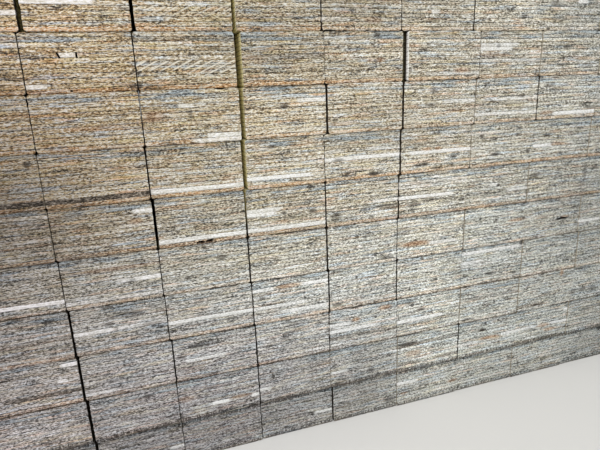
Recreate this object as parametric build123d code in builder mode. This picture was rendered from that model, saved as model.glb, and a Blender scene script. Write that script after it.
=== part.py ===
from build123d import *
import os
from typing import NamedTuple

# A stack of laminated veneer lumber beams, laid flat on the floor in eleven layers of nine.
# Lengths are in millimetres. The beams run along Y and the layers rise along Z. The origin is the
# middle of the stack's footprint, and the front ends, the ones that show, face -Y.

# One beam is a block of veneers glued flat on each other, ripped to width, with its long arrises
# taken off by a small bevel
VENEER = 3.0
VENEER_COUNT = 12
BEAM_WIDTH = 63.0
BEAM_LENGTH = 2400.0
ARRIS_BEVEL = 1.0
BEAM_HEIGHT = VENEER * VENEER_COUNT

# The air between neighbouring beams, one row for each layer from the floor up, from left to right
# as seen from the front. Pushed up tight, two beams still stand half a millimetre apart.
LAYER_GAPS = [
    [1.9, 0.5, 0.7, 1.1, 0.5, 0.5, 0.5, 0.5],
    [2.1, 0.5, 0.8, 0.5, 0.5, 0.6, 0.5, 0.5],
    [1.9, 0.9, 1.1, 0.6, 0.6, 0.5, 0.5, 0.5],
    [1.4, 0.6, 0.8, 1.4, 0.7, 0.5, 0.5, 0.6],
    [0.7, 0.6, 1.0, 1.1, 1.0, 0.6, 0.5, 0.5],
    [0.5, 1.9, 1.5, 0.8, 1.0, 0.5, 0.5, 0.6],
    [0.5, 0.9, 3.0, 0.7, 1.3, 0.5, 0.5, 0.5],
    [0.6, 0.7, 3.2, 1.4, 2.0, 0.6, 0.6, 0.5],
    [0.6, 0.7, 4.4, 0.5, 4.0, 0.8, 0.5, 0.5],
    [2.8, 2.0, 2.4, 0.7, 0.9, 0.6, 0.6, 0.5],
    [0.6, 0.5, 0.8, 0.6, 0.5, 0.7, 0.5, 0.5],
]
# Rip sawing is rough: how much wider than BEAM_WIDTH each beam came out, in the same order
RIP_ERRORS = [
    [0.0, -0.7, 0.2, 0.3, -1.1, -0.6, 0.5, -0.3, 0.0],
    [0.0, -0.8, 0.6, -1.6, 0.6, -0.8, 1.0, -0.2, 0.0],
    [0.0, 0.7, -0.2, -1.6, -0.7, 0.5, 0.7, 1.0, 0.0],
    [0.0, 0.6, 0.8, -0.9, -2.5, 0.6, 2.2, 1.1, 0.0],
    [0.0, 1.2, 0.8, -1.2, -1.9, 1.3, 0.3, 0.8, 0.0],
    [0.0, 1.9, -0.3, -1.4, -1.0, 1.1, 0.4, 0.6, 0.0],
    [0.0, 1.7, 1.5, -3.4, 0.3, 1.4, 0.3, -0.6, 0.0],
    [0.0, 1.9, 2.2, -2.1, -1.6, 1.8, -1.6, 0.4, 0.0],
    [0.0, 1.5, 1.5, -3.4, 0.0, 1.6, -3.5, 0.0, 0.0],
    [0.0, -1.9, -1.2, -2.8, -0.6, -0.6, -0.8, 0.5, 0.0],
    [0.0, 0.4, -0.6, -0.3, -0.9, 0.5, -0.4, 0.2, 0.0],
]
# How far each layer was laid to the right of the one that lies furthest left
LAYER_SHIFTS = [3.6, 2.9, 1.8, 1.4, 1.0, 0.1, 0.0, 0.2, 0.8, 3.1, 2.4]

# Beams knocked lengthwise in handling: the front ends step back by up to a millimetre, by small
# steps that run through the stack, and the whole bottom layer lies further back under the next
SLIDE_STEP = 0.25
SLIDE_STEPS = 5
BOTTOM_SLIDE = 2.0


class Splinter(NamedTuple):
    """A strip of veneer torn out of a front end. Layer and beam count from 1, up and to the right."""

    layer: int
    beam: int
    across: float
    up: float
    width: float
    height: float
    depth: float


class OpenJoint(NamedTuple):
    """A gap between two strips of one veneer. Layer, beam and veneer count from 1; lean is how far
    the top of the gap lies to the right of its foot."""

    layer: int
    beam: int
    veneer: int
    across: float
    width: float
    lean: float
    depth: float


# Middles are measured from the beam's left side and from its underside
SPLINTERS = [
    Splinter(layer=9, beam=2, across=25.2, up=1.4, width=1.8, height=1.4, depth=3.0),
    Splinter(layer=8, beam=3, across=53.0, up=36.0, width=9.0, height=1.8, depth=6.0),
    Splinter(layer=10, beam=5, across=5.5, up=0.0, width=11.0, height=2.0, depth=5.0),
    Splinter(layer=6, beam=3, across=29.1, up=1.2, width=6.5, height=2.4, depth=7.0),
    Splinter(layer=6, beam=3, across=35.4, up=1.5, width=6.5, height=2.4, depth=7.0),
    Splinter(layer=5, beam=8, across=44.3, up=15.8, width=13.5, height=2.2, depth=6.0),
    Splinter(layer=2, beam=3, across=57.8, up=0.5, width=3.0, height=2.2, depth=4.0),
]
OPEN_JOINTS = [
    OpenJoint(layer=9, beam=2, veneer=8, across=20.7, width=0.8, lean=-1.4, depth=8.0),
    OpenJoint(layer=9, beam=2, veneer=8, across=31.0, width=0.8, lean=0.0, depth=8.0),
]


def left_sides(gaps, widths, shift):
    """The left side of each beam in a layer, measured from the leftmost side in the stack."""
    sides = [shift]
    for gap, width in zip(gaps, widths):
        sides.append(sides[-1] + width + gap)
    return sides


def slide(layer, beam):
    """How far a beam lies back from the foremost front end. Both counts start at 1."""
    step = (2 * layer + 3 * beam) % SLIDE_STEPS
    return SLIDE_STEP * step + (BOTTOM_SLIDE if layer == 1 else 0.0)


def end_plane(layer, beam, across, up):
    """A plane on a beam's front end, at a point measured from the beam's left side and underside."""
    left = STACK_LEFT + LAYER_SIDES[layer - 1][beam - 1]
    underside = BEAM_HEIGHT * (layer - 1)
    return Plane(
        origin=(left + across, FRONT + slide(layer, beam), underside + up),
        x_dir=(1, 0, 0),
        z_dir=(0, -1, 0),
    )


LAYER_WIDTHS = [[BEAM_WIDTH + error for error in errors] for errors in RIP_ERRORS]
LAYER_SIDES = [
    left_sides(gaps, widths, shift)
    for gaps, widths, shift in zip(LAYER_GAPS, LAYER_WIDTHS, LAYER_SHIFTS)
]
RIGHT_SIDE = max(sides[-1] + widths[-1] for sides, widths in zip(LAYER_SIDES, LAYER_WIDTHS))
STACK_LEFT = -(min(LAYER_SHIFTS) + RIGHT_SIDE) / 2
SLIDES = [
    slide(layer, beam)
    for layer, sides in enumerate(LAYER_SIDES, start=1)
    for beam in range(1, len(sides) + 1)
]
FRONT = -(min(SLIDES) + max(SLIDES) + BEAM_LENGTH) / 2

os.makedirs("parts", exist_ok=True)

for layer, widths in enumerate(LAYER_WIDTHS, start=1):
    with BuildPart() as beam_layer:
        # Each beam is drawn as its section on its own front end and run back to its full length
        for beam, width in enumerate(widths, start=1):
            with BuildSketch(end_plane(layer, beam, width / 2, BEAM_HEIGHT / 2)) as section:
                Rectangle(width, BEAM_HEIGHT)
                chamfer(section.vertices(), length=ARRIS_BEVEL)
            extrude(amount=-BEAM_LENGTH)

        # A torn strip leaves a pocket that comes to a point at both sides, along the veneers
        for torn in [splinter for splinter in SPLINTERS if splinter.layer == layer]:
            with BuildSketch(end_plane(layer, torn.beam, torn.across, torn.up)):
                with BuildLine():
                    ThreePointArc((-torn.width / 2, 0), (0, torn.height / 2), (torn.width / 2, 0))
                    ThreePointArc((torn.width / 2, 0), (0, -torn.height / 2), (-torn.width / 2, 0))
                make_face()
            extrude(amount=-torn.depth, mode=Mode.SUBTRACT)

        # Where two strips of a veneer don't meet, the gap between them is one veneer high
        for gap in [joint for joint in OPEN_JOINTS if joint.layer == layer]:
            with BuildSketch(end_plane(layer, gap.beam, gap.across, VENEER * (gap.veneer - 0.5))):
                with BuildLine():
                    Polyline(
                        (-(gap.width + gap.lean) / 2, -VENEER / 2),
                        ((gap.width - gap.lean) / 2, -VENEER / 2),
                        ((gap.width + gap.lean) / 2, VENEER / 2),
                        (-(gap.width - gap.lean) / 2, VENEER / 2),
                        close=True,
                    )
                make_face()
            extrude(amount=-gap.depth, mode=Mode.SUBTRACT)

    name = f"beam_layer_{layer:02d}"
    beam_layer.part.label = name
    export_step(beam_layer.part, f"parts/{name}.step")
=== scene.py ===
# %% [markdown]
# # A stack of laminated veneer lumber beams
# Ninety-nine beams lie flat in eleven layers of nine. Laminated veneer lumber is peeled softwood veneer,
# 3 mm thick, glued flat on itself with the grain along the beam and ripped to width. What the eye
# meets here is the sawn end of each beam: twelve veneers cut across the grain, rough, weathered
# and stained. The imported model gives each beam's place, and everything below is built around it.

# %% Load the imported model
import math
from typing import NamedTuple

import bpy
import numpy as np
from mathutils import Matrix, Vector


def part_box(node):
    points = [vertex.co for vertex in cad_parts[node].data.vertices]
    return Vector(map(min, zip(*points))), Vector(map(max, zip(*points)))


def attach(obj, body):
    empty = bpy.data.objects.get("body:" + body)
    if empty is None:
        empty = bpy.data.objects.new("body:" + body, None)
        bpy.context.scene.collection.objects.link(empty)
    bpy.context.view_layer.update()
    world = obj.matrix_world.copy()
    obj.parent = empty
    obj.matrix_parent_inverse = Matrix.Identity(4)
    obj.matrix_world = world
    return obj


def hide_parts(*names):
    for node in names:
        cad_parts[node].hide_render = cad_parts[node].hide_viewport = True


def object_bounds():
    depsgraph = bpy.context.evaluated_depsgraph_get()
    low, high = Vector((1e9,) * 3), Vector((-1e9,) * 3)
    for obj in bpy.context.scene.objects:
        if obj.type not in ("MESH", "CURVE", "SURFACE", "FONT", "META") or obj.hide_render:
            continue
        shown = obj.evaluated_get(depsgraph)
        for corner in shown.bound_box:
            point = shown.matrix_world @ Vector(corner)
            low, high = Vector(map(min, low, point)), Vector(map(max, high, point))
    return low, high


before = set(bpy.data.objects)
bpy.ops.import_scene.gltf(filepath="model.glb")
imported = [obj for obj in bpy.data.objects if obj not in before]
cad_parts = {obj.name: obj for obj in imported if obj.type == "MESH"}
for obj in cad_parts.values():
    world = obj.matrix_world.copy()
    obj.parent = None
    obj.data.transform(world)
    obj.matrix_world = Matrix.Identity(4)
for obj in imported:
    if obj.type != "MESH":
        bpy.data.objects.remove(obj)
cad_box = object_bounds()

print("layers in the packed model:", len(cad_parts))


# %% [markdown]
# ## Helpers for colours and materials
# Colours are written as sRGB hex, the way a paint program shows them, and Blender's nodes work in
# linear light, so one function turns the one into the other. Materials here are graphs of nodes.
# A graph reads best when each node is one line that says its kind, its settings and what feeds it,
# so one function adds a node and links it. A few short chains of nodes come back in every material,
# so each is a function too: stretched noise, a sum of parts, a product, a distance, a shade laid over
# a colour, and the links to the shader with bump and roughness. Sizes are written in millimetres,
# and MM turns them into the scene's metres.

# %% Colour and node helpers
MM = 0.001


def linear(hex_colour):
    """An sRGB hex colour as the linear red, green, blue and alpha that a node takes."""
    channels = [int(hex_colour[at:at + 2], 16) / 255 for at in (1, 3, 5)]
    return [c / 12.92 if c <= 0.04045 else ((c + 0.055) / 1.055) ** 2.4 for c in channels] + [1.0]


def add(material, kind, inputs=None, ramp=None, **settings):
    """Adds one node, with its settings, its ramp's stops and its inputs' values or links."""
    node = material.node_tree.nodes.new("ShaderNode" + kind)
    for name, value in settings.items():
        setattr(node, name, value)
    if ramp:
        stops = node.color_ramp.elements
        while len(stops) < len(ramp):
            stops.new(0.5)
        for stop, (place, colour) in zip(stops, ramp):
            stop.position = place
            stop.color = linear(colour)
    usable = [socket for socket in node.inputs if socket.enabled]
    for key, value in (inputs or {}).items():
        socket = usable[key] if isinstance(key, int) else next(s for s in usable if s.name == key)
        if isinstance(value, bpy.types.Node):
            value = next(output for output in value.outputs if output.enabled)
        if isinstance(value, bpy.types.NodeSocket):
            material.node_tree.links.new(value, socket)
        else:
            socket.default_value = value
    return node


def stretched_noise(material, place, size, detail, roughness=0.6):
    """Noise stretched to a size in mm, given for each of the three directions."""
    scaled = add(material, "VectorMath", {0: place, 1: size}, operation="DIVIDE")
    return add(material, "TexNoise", {"Vector": scaled, "Scale": 1.0, "Detail": detail,
                                      "Roughness": roughness})


def added_up(material, start, *parts):
    """A start value plus every part, given as a value and its share."""
    for value, share in parts:
        start = add(material, "Math", {0: value, 1: share, 2: start}, operation="MULTIPLY_ADD")
    return start


def product(material, value, *others):
    """A value times each of the others."""
    for other in others:
        value = add(material, "Math", {0: value, 1: other}, operation="MULTIPLY")
    return value


def distance(material, value, other):
    """How far a value lies from another one."""
    apart = add(material, "Math", {0: value, 1: other}, operation="SUBTRACT")
    return add(material, "Math", {0: apart}, operation="ABSOLUTE")


def from_middle(material, value):
    """How far a value lies from the middle between two whole numbers, from 0 to a half."""
    return distance(material, add(material, "Math", {0: value}, operation="FRACT"), 0.5)


def shaded(material, colour, shade):
    """A colour multiplied by one number."""
    shade = add(material, "CombineXYZ", {0: shade, 1: shade, 2: shade})
    return add(material, "Mix", {"Factor": 1.0, "A": colour, "B": shade},
               data_type="RGBA", blend_type="MULTIPLY")


def new_material(name):
    """A material drawn with nodes, which holds only its shader so far."""
    material = bpy.data.materials.new(name)
    material.use_nodes = True
    return material


RAW_WOOD_IOR, RAW_WOOD_SPECULAR = 1.5, 0.25


def connect(material, colour, height, grain, rough, flat):
    """Links a finished graph to the shader: colour, relief in mm, and the low gloss of raw wood."""
    bump = add(material, "Bump", {"Height": height, "Distance": MM, "Strength": 1.0})
    roughness = add(material, "MapRange", {"Value": grain, "From Min": 0.3, "From Max": 0.7,
                                           "To Min": rough, "To Max": flat})
    shader = material.node_tree.nodes["Principled BSDF"]
    shader.inputs["IOR"].default_value = RAW_WOOD_IOR
    shader.inputs["Specular IOR Level"].default_value = RAW_WOOD_SPECULAR
    for node, socket in ((colour, "Base Color"), (roughness, "Roughness"), (bump, "Normal")):
        output = next(output for output in node.outputs if output.enabled)
        material.node_tree.links.new(output, shader.inputs[socket])


print("mid grey, #808080, is", round(linear("#808080")[0], 3), "in linear light")


# %% [markdown]
# ## Camera
# The photograph was taken from close by, turned a little to the right and down. The camera's place
# was fitted to the crossings of the seams between beams, so a seam in the render falls on the same
# seam in the photograph.

# %% Camera
SENSOR_WIDTH, LENS = 36.0, 28.887
CAMERA_PLACE = (-0.1598, -1.5412, 0.2831)
CAMERA_RIGHT = (0.9508, -0.3074, -0.0396)
CAMERA_UP = (0.1181, 0.2413, 0.9632)
CAMERA_BACK = (-0.2866, -0.9205, 0.2657)

camera_data = bpy.data.cameras.new("camera")
camera_data.sensor_width = SENSOR_WIDTH
camera_data.lens = LENS
camera = bpy.data.objects.new("camera", camera_data)
columns = zip(CAMERA_RIGHT, CAMERA_UP, CAMERA_BACK, CAMERA_PLACE)
camera.matrix_world = Matrix([list(row) for row in columns] + [[0, 0, 0, 1]])
bpy.context.scene.collection.objects.link(camera)
bpy.context.scene.camera = camera
bpy.context.scene.view_settings.view_transform = "Standard"
print("camera lens:", camera_data.lens, "mm")


# %% [markdown]
# ## Studio
# The light is that of an open shed on a dull day: soft, from the front and above. A pale sky gives
# most of it, and one large lamp, above and to the left, gives the rest, so that the rough ends have
# a lit and a shaded side. Together they light a surface that faces them about as its colour is
# written. The floor is plain and pale.

# %% Sky, lamp and floor
SKY_LIGHT = 0.51
SKY_SEEN = 1.0
LAMP_WATTS = 49.0
LAMP_SIZE = 2.2
LAMP_PLACE = Vector((-0.9, -2.3, 1.9))
LAMP_AIM = Vector((0.0, -1.2, 0.18))
FLOOR_SIZE = 14.0
FLOOR_COLOUR = "#DAD9D6"

world = bpy.data.worlds.new("pale sky")
bpy.context.scene.world = world
world.use_nodes = True
world.node_tree.nodes.clear()
path = add(world, "LightPath")
seen = add(world, "Math", {0: path.outputs["Is Camera Ray"], 1: SKY_SEEN - SKY_LIGHT, 2: SKY_LIGHT},
           operation="MULTIPLY_ADD")
sky = add(world, "Background", {"Color": linear("#FFFFFF"), "Strength": seen})
add(world, "OutputWorld", {"Surface": sky})

lamp_data = bpy.data.lights.new("softbox", "AREA")
lamp_data.energy = LAMP_WATTS
lamp_data.size = LAMP_SIZE
lamp = bpy.data.objects.new("softbox", lamp_data)
lamp.location = LAMP_PLACE
lamp.rotation_euler = (LAMP_PLACE - LAMP_AIM).to_track_quat("Z", "Y").to_euler()
bpy.context.scene.collection.objects.link(lamp)

floor_material = new_material("painted_concrete")
floor_shader = floor_material.node_tree.nodes["Principled BSDF"]
floor_shader.inputs["Base Color"].default_value = linear(FLOOR_COLOUR)
floor_shader.inputs["Roughness"].default_value = 0.9
half = FLOOR_SIZE / 2
floor_mesh = bpy.data.meshes.new("floor")
floor_mesh.from_pydata([(-half, -half, 0), (half, -half, 0), (half, half, 0), (-half, half, 0)],
                       [], [(0, 1, 2, 3)])
floor_mesh.materials.append(floor_material)
floor = bpy.data.objects.new("floor", floor_mesh)
bpy.context.scene.collection.objects.link(floor)
print("floor:", FLOOR_SIZE, "m across")


# %% [markdown]
# ## Where each beam lies
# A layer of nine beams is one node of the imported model. The beams stand half a millimetre or more
# apart, and each has just one left and one right side, 2.4 m long, so those sides give each beam's
# place and its own ripped width without measuring anything twice.

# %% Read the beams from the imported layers
LONG_SIDE = 1.0
UPRIGHT = 0.99


class Beam(NamedTuple):
    """A beam's place, in millimetres. Layers count from the floor up, beams from left to right."""

    layer: int
    beam: int
    left: float
    front: float
    bottom: float
    width: float
    length: float


def long_sides(mesh, facing):
    """The x of each long side that faces one way along X, from left to right, and its ends along Y."""
    found = {}
    for face in mesh.polygons:
        along = [mesh.vertices[vertex].co.y for vertex in face.vertices]
        if face.normal.x * facing > UPRIGHT and max(along) - min(along) > LONG_SIDE:
            x = round(mesh.vertices[face.vertices[0]].co.x, 5)
            front, back = found.get(x, (math.inf, -math.inf))
            found[x] = (min(front, *along), max(back, *along))
    return sorted((x, *ends) for x, ends in found.items())


beams = []
for layer, name in enumerate(sorted(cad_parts), start=1):
    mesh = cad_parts[name].data
    low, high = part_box(name)
    for beam, (left_side, right_side) in enumerate(zip(long_sides(mesh, -1), long_sides(mesh, 1)), start=1):
        left, front, back = (value / MM for value in left_side)
        beams.append(Beam(layer, beam, left, front, low.z / MM, right_side[0] / MM - left, back - front))
widths = [beam.width for beam in beams]
print("beams:", len(beams), "from", round(min(widths), 2), "to", round(max(widths), 2), "mm wide")


# %% [markdown]
# ## The lines of the end grid
# The saw leaves veneers a little proud of each other, and glue lines a little sunk. That is real
# shape, so each front end is a fine grid of points that can be pushed in one by one. Its rows
# follow the veneers: five lines to a veneer, close together at the glue line. Near the corners the
# square grid is bent round to the eased arris, which is simpler than cutting cells off.

# %% Grid lines and eased corners
VENEER = 3.0
VENEERS = 12
HEIGHT = VENEER * VENEERS
ARRIS_RADIUS = 1.75
CORNER_LINES = [0.0, 0.24, 1.08, 1.92]
VENEER_LINES = [0.0, 0.24, 1.08, 1.92, 2.76]
FRONT_COLUMNS = 46
BACK_COLUMNS = 14
LEAST_SPACING = 0.16


def side_lines(length, between, extra=()):
    """The grid lines along one side of an end: the corner lines, those between, and any extra ones."""
    corners = CORNER_LINES + [length - line for line in CORNER_LINES]
    kept = list(corners)
    for line in [*extra, *between]:
        if 0 < line < length and min(abs(line - other) for other in kept) > LEAST_SPACING:
            kept.append(line)
    return np.array(sorted(kept))


def eased(x, z, width):
    """Bends a square grid's corners round to the arris's radius. Lengths from the lower left corner."""
    u = np.clip(1 - np.minimum(x, width - x) / ARRIS_RADIUS, 0, 1)
    v = np.clip(1 - np.minimum(z, HEIGHT - z) / ARRIS_RADIUS, 0, 1)
    in_x = ARRIS_RADIUS * u * (1 - np.sqrt(1 - v * v / 2))
    in_z = ARRIS_RADIUS * v * (1 - np.sqrt(1 - u * u / 2))
    return (np.where(x < width / 2, x + in_x, x - in_x),
            np.where(z < HEIGHT / 2, z + in_z, z - in_z))


front_rows = [VENEER * veneer + line for veneer in range(VENEERS) for line in VENEER_LINES]
back_rows = [VENEER * veneer for veneer in range(VENEERS)]
print("front grid: about", FRONT_COLUMNS, "by", len(side_lines(HEIGHT, front_rows)), "lines")


# %% [markdown]
# ## How the veneers lie
# A press flattens veneers well but not perfectly: thicknesses differ by a tenth, and the glue lines
# wander by a few tenths of a millimetre over a hand's width. The beams of one layer were ripped
# from the same slab, so the lines run on from one beam to the next. The wander is drawn from the
# position along the whole layer, and not from each beam's own, to keep that.

# %% Wander of the glue lines
SLAB_SEED = 7000
LINE_SPREAD = 0.16
WAVES = [(187.0, 0.20), (83.0, 0.10), (31.0, 0.05)]
WAVE_LEAN = 0.11
LEVEL_AT_CORNERS = 2.0


def glue_line_shift(layer, x, height):
    """How far the glue lines lie above their even places, in mm, at an x along the layer and a height."""
    rng = np.random.default_rng(SLAB_SEED + layer)
    offsets = np.concatenate([[0.0], rng.uniform(-LINE_SPREAD, LINE_SPREAD, VENEERS - 1), [0.0]])
    shift = np.interp(height, VENEER * np.arange(VENEERS + 1), offsets)
    for length, size in WAVES:
        start = rng.uniform(0, 2 * math.pi)
        shift = shift + size * np.sin(2 * math.pi * x / length + start + WAVE_LEAN * height)
    from_corner = np.minimum(height, HEIGHT - height) - CORNER_LINES[-1]
    return shift * np.clip(from_corner, 0, LEVEL_AT_CORNERS) / LEVEL_AT_CORNERS


print("glue lines wander by up to", round(LINE_SPREAD + sum(size for _, size in WAVES), 2), "mm")


# %% [markdown]
# ## Torn spots and open joints
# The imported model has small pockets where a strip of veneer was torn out, and slots where two
# strips of one veneer don't meet. The fine end has to show the same ones in the same places.

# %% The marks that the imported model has
class Splinter(NamedTuple):
    """A strip torn out of a front end. Its middle is measured from the beam's left side and underside."""

    layer: int
    beam: int
    across: float
    up: float
    width: float
    height: float
    depth: float


class OpenJoint(NamedTuple):
    """A gap in one veneer. Lean is how far its top lies to the right of its foot."""

    layer: int
    beam: int
    veneer: int
    across: float
    width: float
    lean: float
    depth: float


SPLINTERS = [
    Splinter(layer=9, beam=2, across=25.2, up=1.4, width=1.8, height=1.4, depth=3.0),
    Splinter(layer=8, beam=3, across=53.0, up=36.0, width=9.0, height=1.8, depth=6.0),
    Splinter(layer=10, beam=5, across=5.5, up=0.0, width=11.0, height=2.0, depth=5.0),
    Splinter(layer=6, beam=3, across=29.1, up=1.2, width=6.5, height=2.4, depth=7.0),
    Splinter(layer=6, beam=3, across=35.4, up=1.5, width=6.5, height=2.4, depth=7.0),
    Splinter(layer=5, beam=8, across=44.3, up=15.8, width=13.5, height=2.2, depth=6.0),
    Splinter(layer=2, beam=3, across=57.8, up=0.5, width=3.0, height=2.2, depth=4.0),
]
OPEN_JOINTS = [
    OpenJoint(layer=9, beam=2, veneer=8, across=20.7, width=0.8, lean=-1.4, depth=8.0),
    OpenJoint(layer=9, beam=2, veneer=8, across=31.0, width=0.8, lean=0.0, depth=8.0),
]
WALL = 0.25
ON_EDGE = 0.01
LEAN_REACH = 5.0
MARK_COLUMN, MARK_ROW = 0.5, 0.3
print("marks:", len(SPLINTERS), "torn spots and", len(OPEN_JOINTS), "open joints")


# %% Grid lines and depths for the marks
def mark_lines(splinters, joints):
    """Extra columns and rows for the edges of a beam's marks."""
    extra_columns = []
    extra_rows = []
    for torn in splinters:
        half_width, half_height = torn.width / 2, torn.height / 2
        extra_columns += list(np.arange(torn.across - half_width, torn.across + half_width, MARK_COLUMN))
        extra_rows += list(np.arange(torn.up - half_height, torn.up + half_height + MARK_ROW, MARK_ROW))
    for gap in joints:
        for edge in (-1, 1):
            line = gap.across + edge * gap.width / 2
            extra_columns += [line, line + edge * WALL]
        foot = VENEER * (gap.veneer - 1)
        extra_rows += [foot - WALL, foot, foot + VENEER, foot + VENEER + WALL]
    return extra_columns, extra_rows


def mark_depth(x, z, splinters, joints):
    """How deep the marks go at each point of a front end, in mm."""
    depth = np.zeros_like(x)
    for torn in splinters:
        off = np.clip(np.abs(x - torn.across) / (torn.width / 2), 0, 1)
        half_height = torn.height / 2 * (1 - off * off)
        inside = np.clip((half_height - np.abs(z - torn.up)) / WALL, 0, 1)
        depth = np.maximum(depth, torn.depth * inside)
    for gap in joints:
        foot = VENEER * (gap.veneer - 1)
        across = np.abs(x - gap.across)
        upright = np.abs(z - foot - VENEER / 2)
        inside = (across <= gap.width / 2 + ON_EDGE) & (upright <= VENEER / 2 + ON_EDGE)
        depth = np.maximum(depth, np.where(inside, gap.depth, 0.0))
    return depth


def joint_lean(x, z, joints):
    """How far points beside a leaning open joint move to the right, in mm."""
    shift = np.zeros_like(x)
    for gap in joints:
        foot = VENEER * (gap.veneer - 1)
        height = np.clip((z - foot) / VENEER, 0, 1) - 0.5
        near = np.clip(1 - np.abs(x - gap.across) / LEAN_REACH, 0, 1)
        fade = np.clip(1 - (np.abs(z - foot - VENEER / 2) - VENEER / 2) / VENEER, 0, 1)
        shift = shift + gap.lean * height * near * fade
    return shift


deepest = max(mark.depth for mark in SPLINTERS + OPEN_JOINTS)
print("the deepest mark goes in by", deepest, "mm")


# %% [markdown]
# ## The sawn surface
# The relief is small: veneers stand up to a fifth of a millimetre proud of each other, the glue
# line is a fine groove, and the saw has pulled out short pits along the veneers. All of it goes
# inwards from the beam's true end, so the stack keeps its size.

# %% Relief of an end
STEP = 0.20
GROOVE = 0.14
ROUGHNESS = 0.10
STEP_WAVE, FULL_TURN = 21.0, 6.28
GROOVE_REACH = 0.2
PITS = 26
PIT_PLACE = (0.2, 0.8)
PIT_DEPTH = (0.1, 0.45)
PIT_LENGTH = (0.8, 3.2)
PIT_HEIGHT = 0.7


def relief(beam, x, height):
    """How far each point of an end lies behind the beam's true end, in mm."""
    slab = np.random.default_rng(SLAB_SEED + 100 + beam.layer)
    own = np.random.default_rng(1000 * beam.layer + beam.beam)
    veneer = np.clip((height / VENEER + 1e-6).astype(int), 0, VENEERS - 1)
    steps = slab.uniform(0, STEP, (VENEERS, 2))
    wave = 0.5 + 0.5 * np.sin(x / STEP_WAVE + FULL_TURN * steps[veneer, 1] / STEP)
    depth = steps[veneer, 0] * wave
    to_line = np.abs(height / VENEER - np.round(height / VENEER)) * VENEER
    depth = depth + GROOVE * np.clip(1 - to_line / GROOVE_REACH, 0, 1)
    depth = depth + own.uniform(0, ROUGHNESS, x.shape)
    for _ in range(PITS):
        across = beam.left + own.uniform(0, beam.width)
        up = VENEER * (own.integers(0, VENEERS) + own.uniform(*PIT_PLACE))
        long = own.uniform(*PIT_LENGTH)
        off = np.hypot((x - across) / long, (height - up) / PIT_HEIGHT)
        depth = depth + own.uniform(*PIT_DEPTH) * np.clip(1 - off, 0, 1)
    return depth


print("relief of an end: up to", STEP + GROOVE + ROUGHNESS + PIT_DEPTH[1], "mm")


# %% [markdown]
# ## Broken edges
# A saw breaks out small chips where it leaves the wood, so from the front the line between two
# beams isn't straight but wavers. Each edge of the end is moved inwards here and there, by up to
# half a millimetre. Only the edge itself moves, and the side face behind it stays flat.

# %% Chips along the edges
CHIP_SEED = 90000
CHIP_SPACING = 1.2
CHIP_SIZE = 0.5
CHIP_SPREAD = 0.55
CHIP_REACH = 1.9
LONGEST_EDGE = 70.0


def chips(beam, side, along):
    """How far the edge on one side is broken back, in mm, at places along it."""
    own = np.random.default_rng(CHIP_SEED + 1000 * beam.layer + 10 * beam.beam + side)
    places = np.arange(0.0, LONGEST_EDGE, CHIP_SPACING)
    sizes = np.clip(own.normal(0.0, CHIP_SPREAD, len(places)), 0, 1) ** 2 * CHIP_SIZE
    return np.interp(along, places, sizes)


def break_edges(beam, x, z):
    """Moves the points near an end's four edges inwards by the chips."""
    near = [np.clip(1 - distance / CHIP_REACH, 0, 1) for distance in (x, beam.width - x, z, HEIGHT - z)]
    moved_x = x + near[0] * chips(beam, 0, z) - near[1] * chips(beam, 1, z)
    moved_z = z + near[2] * chips(beam, 2, x) - near[3] * chips(beam, 3, x)
    return moved_x, moved_z


print("chips are up to", CHIP_SIZE, "mm")


# %% [markdown]
# ## How the weather changed the front, and a painted fall-off of light
# The stack was left in the open. Beams at the top left are still warm brown, those at the right
# have gone silver grey, and the lowest ones at the left have a faint lilac cast. These are slow
# changes across the whole stack, so they are numbers worked out from a point's place and stored at
# the points of each end. The material reads them, which keeps its own graph short. The brightness
# number, shade, is partly painted light: the front is painted brightest a little right of the
# middle and darker towards its edges, as the light falls off across it, and this also evens out
# the lamp's own slope from left to right. A few soft patches, darker or paler, break up the even
# fall-off. The lowest veneer of a beam is more or less orange, layer by layer, and loses it towards
# the right.

# %% Weathering numbers and painted light
class Patch(NamedTuple):
    """A soft patch of the stack's front: its middle and reach in mm, and how it changes brightness."""

    x: float
    z: float
    wide: float
    high: float
    change: float


WEATHER_SEED = 500
SHOWN_HEIGHT = 360.0
BRIGHTNESS_PATCHES = [Patch(*row) for row in [
    (-95, 25, 100, 40, -0.11), (-15, 138, 100, 30, 0.07), (-120, 340, 60, 26, 0.06), (0, 346, 32, 14, -0.12),
    (138, 345, 36, 22, 0.08), (0, 26, 30, 26, -0.14), (-250, 212, 66, 46, -0.17), (-70, 322, 70, 26, -0.10),
    (228, 175, 50, 55, -0.09), (-212, 335, 50, 36, 0.14), (-262, 55, 36, 34, 0.15), (65, 100, 30, 100, 0.07),
    (195, 298, 56, 40, 0.08), (40, 262, 75, 24, -0.06), (20, 238, 260, 20, -0.045), (165, 55, 80, 30, 0.07),
]]

# For each layer from the floor up: how orange its lowest veneer is at the left, and the share of that
# which is lost at the right
ORANGE = [(0.0, 0.0), (0.12, 1.0), (0.5, 1.0), (0.55, 0.4), (0.35, 0.6), (0.65, 0.35), (0.95, 0.25),
          (0.75, 0.5), (1.0, 0.6), (1.3, 1.05), (1.1, 0.5)]


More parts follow.
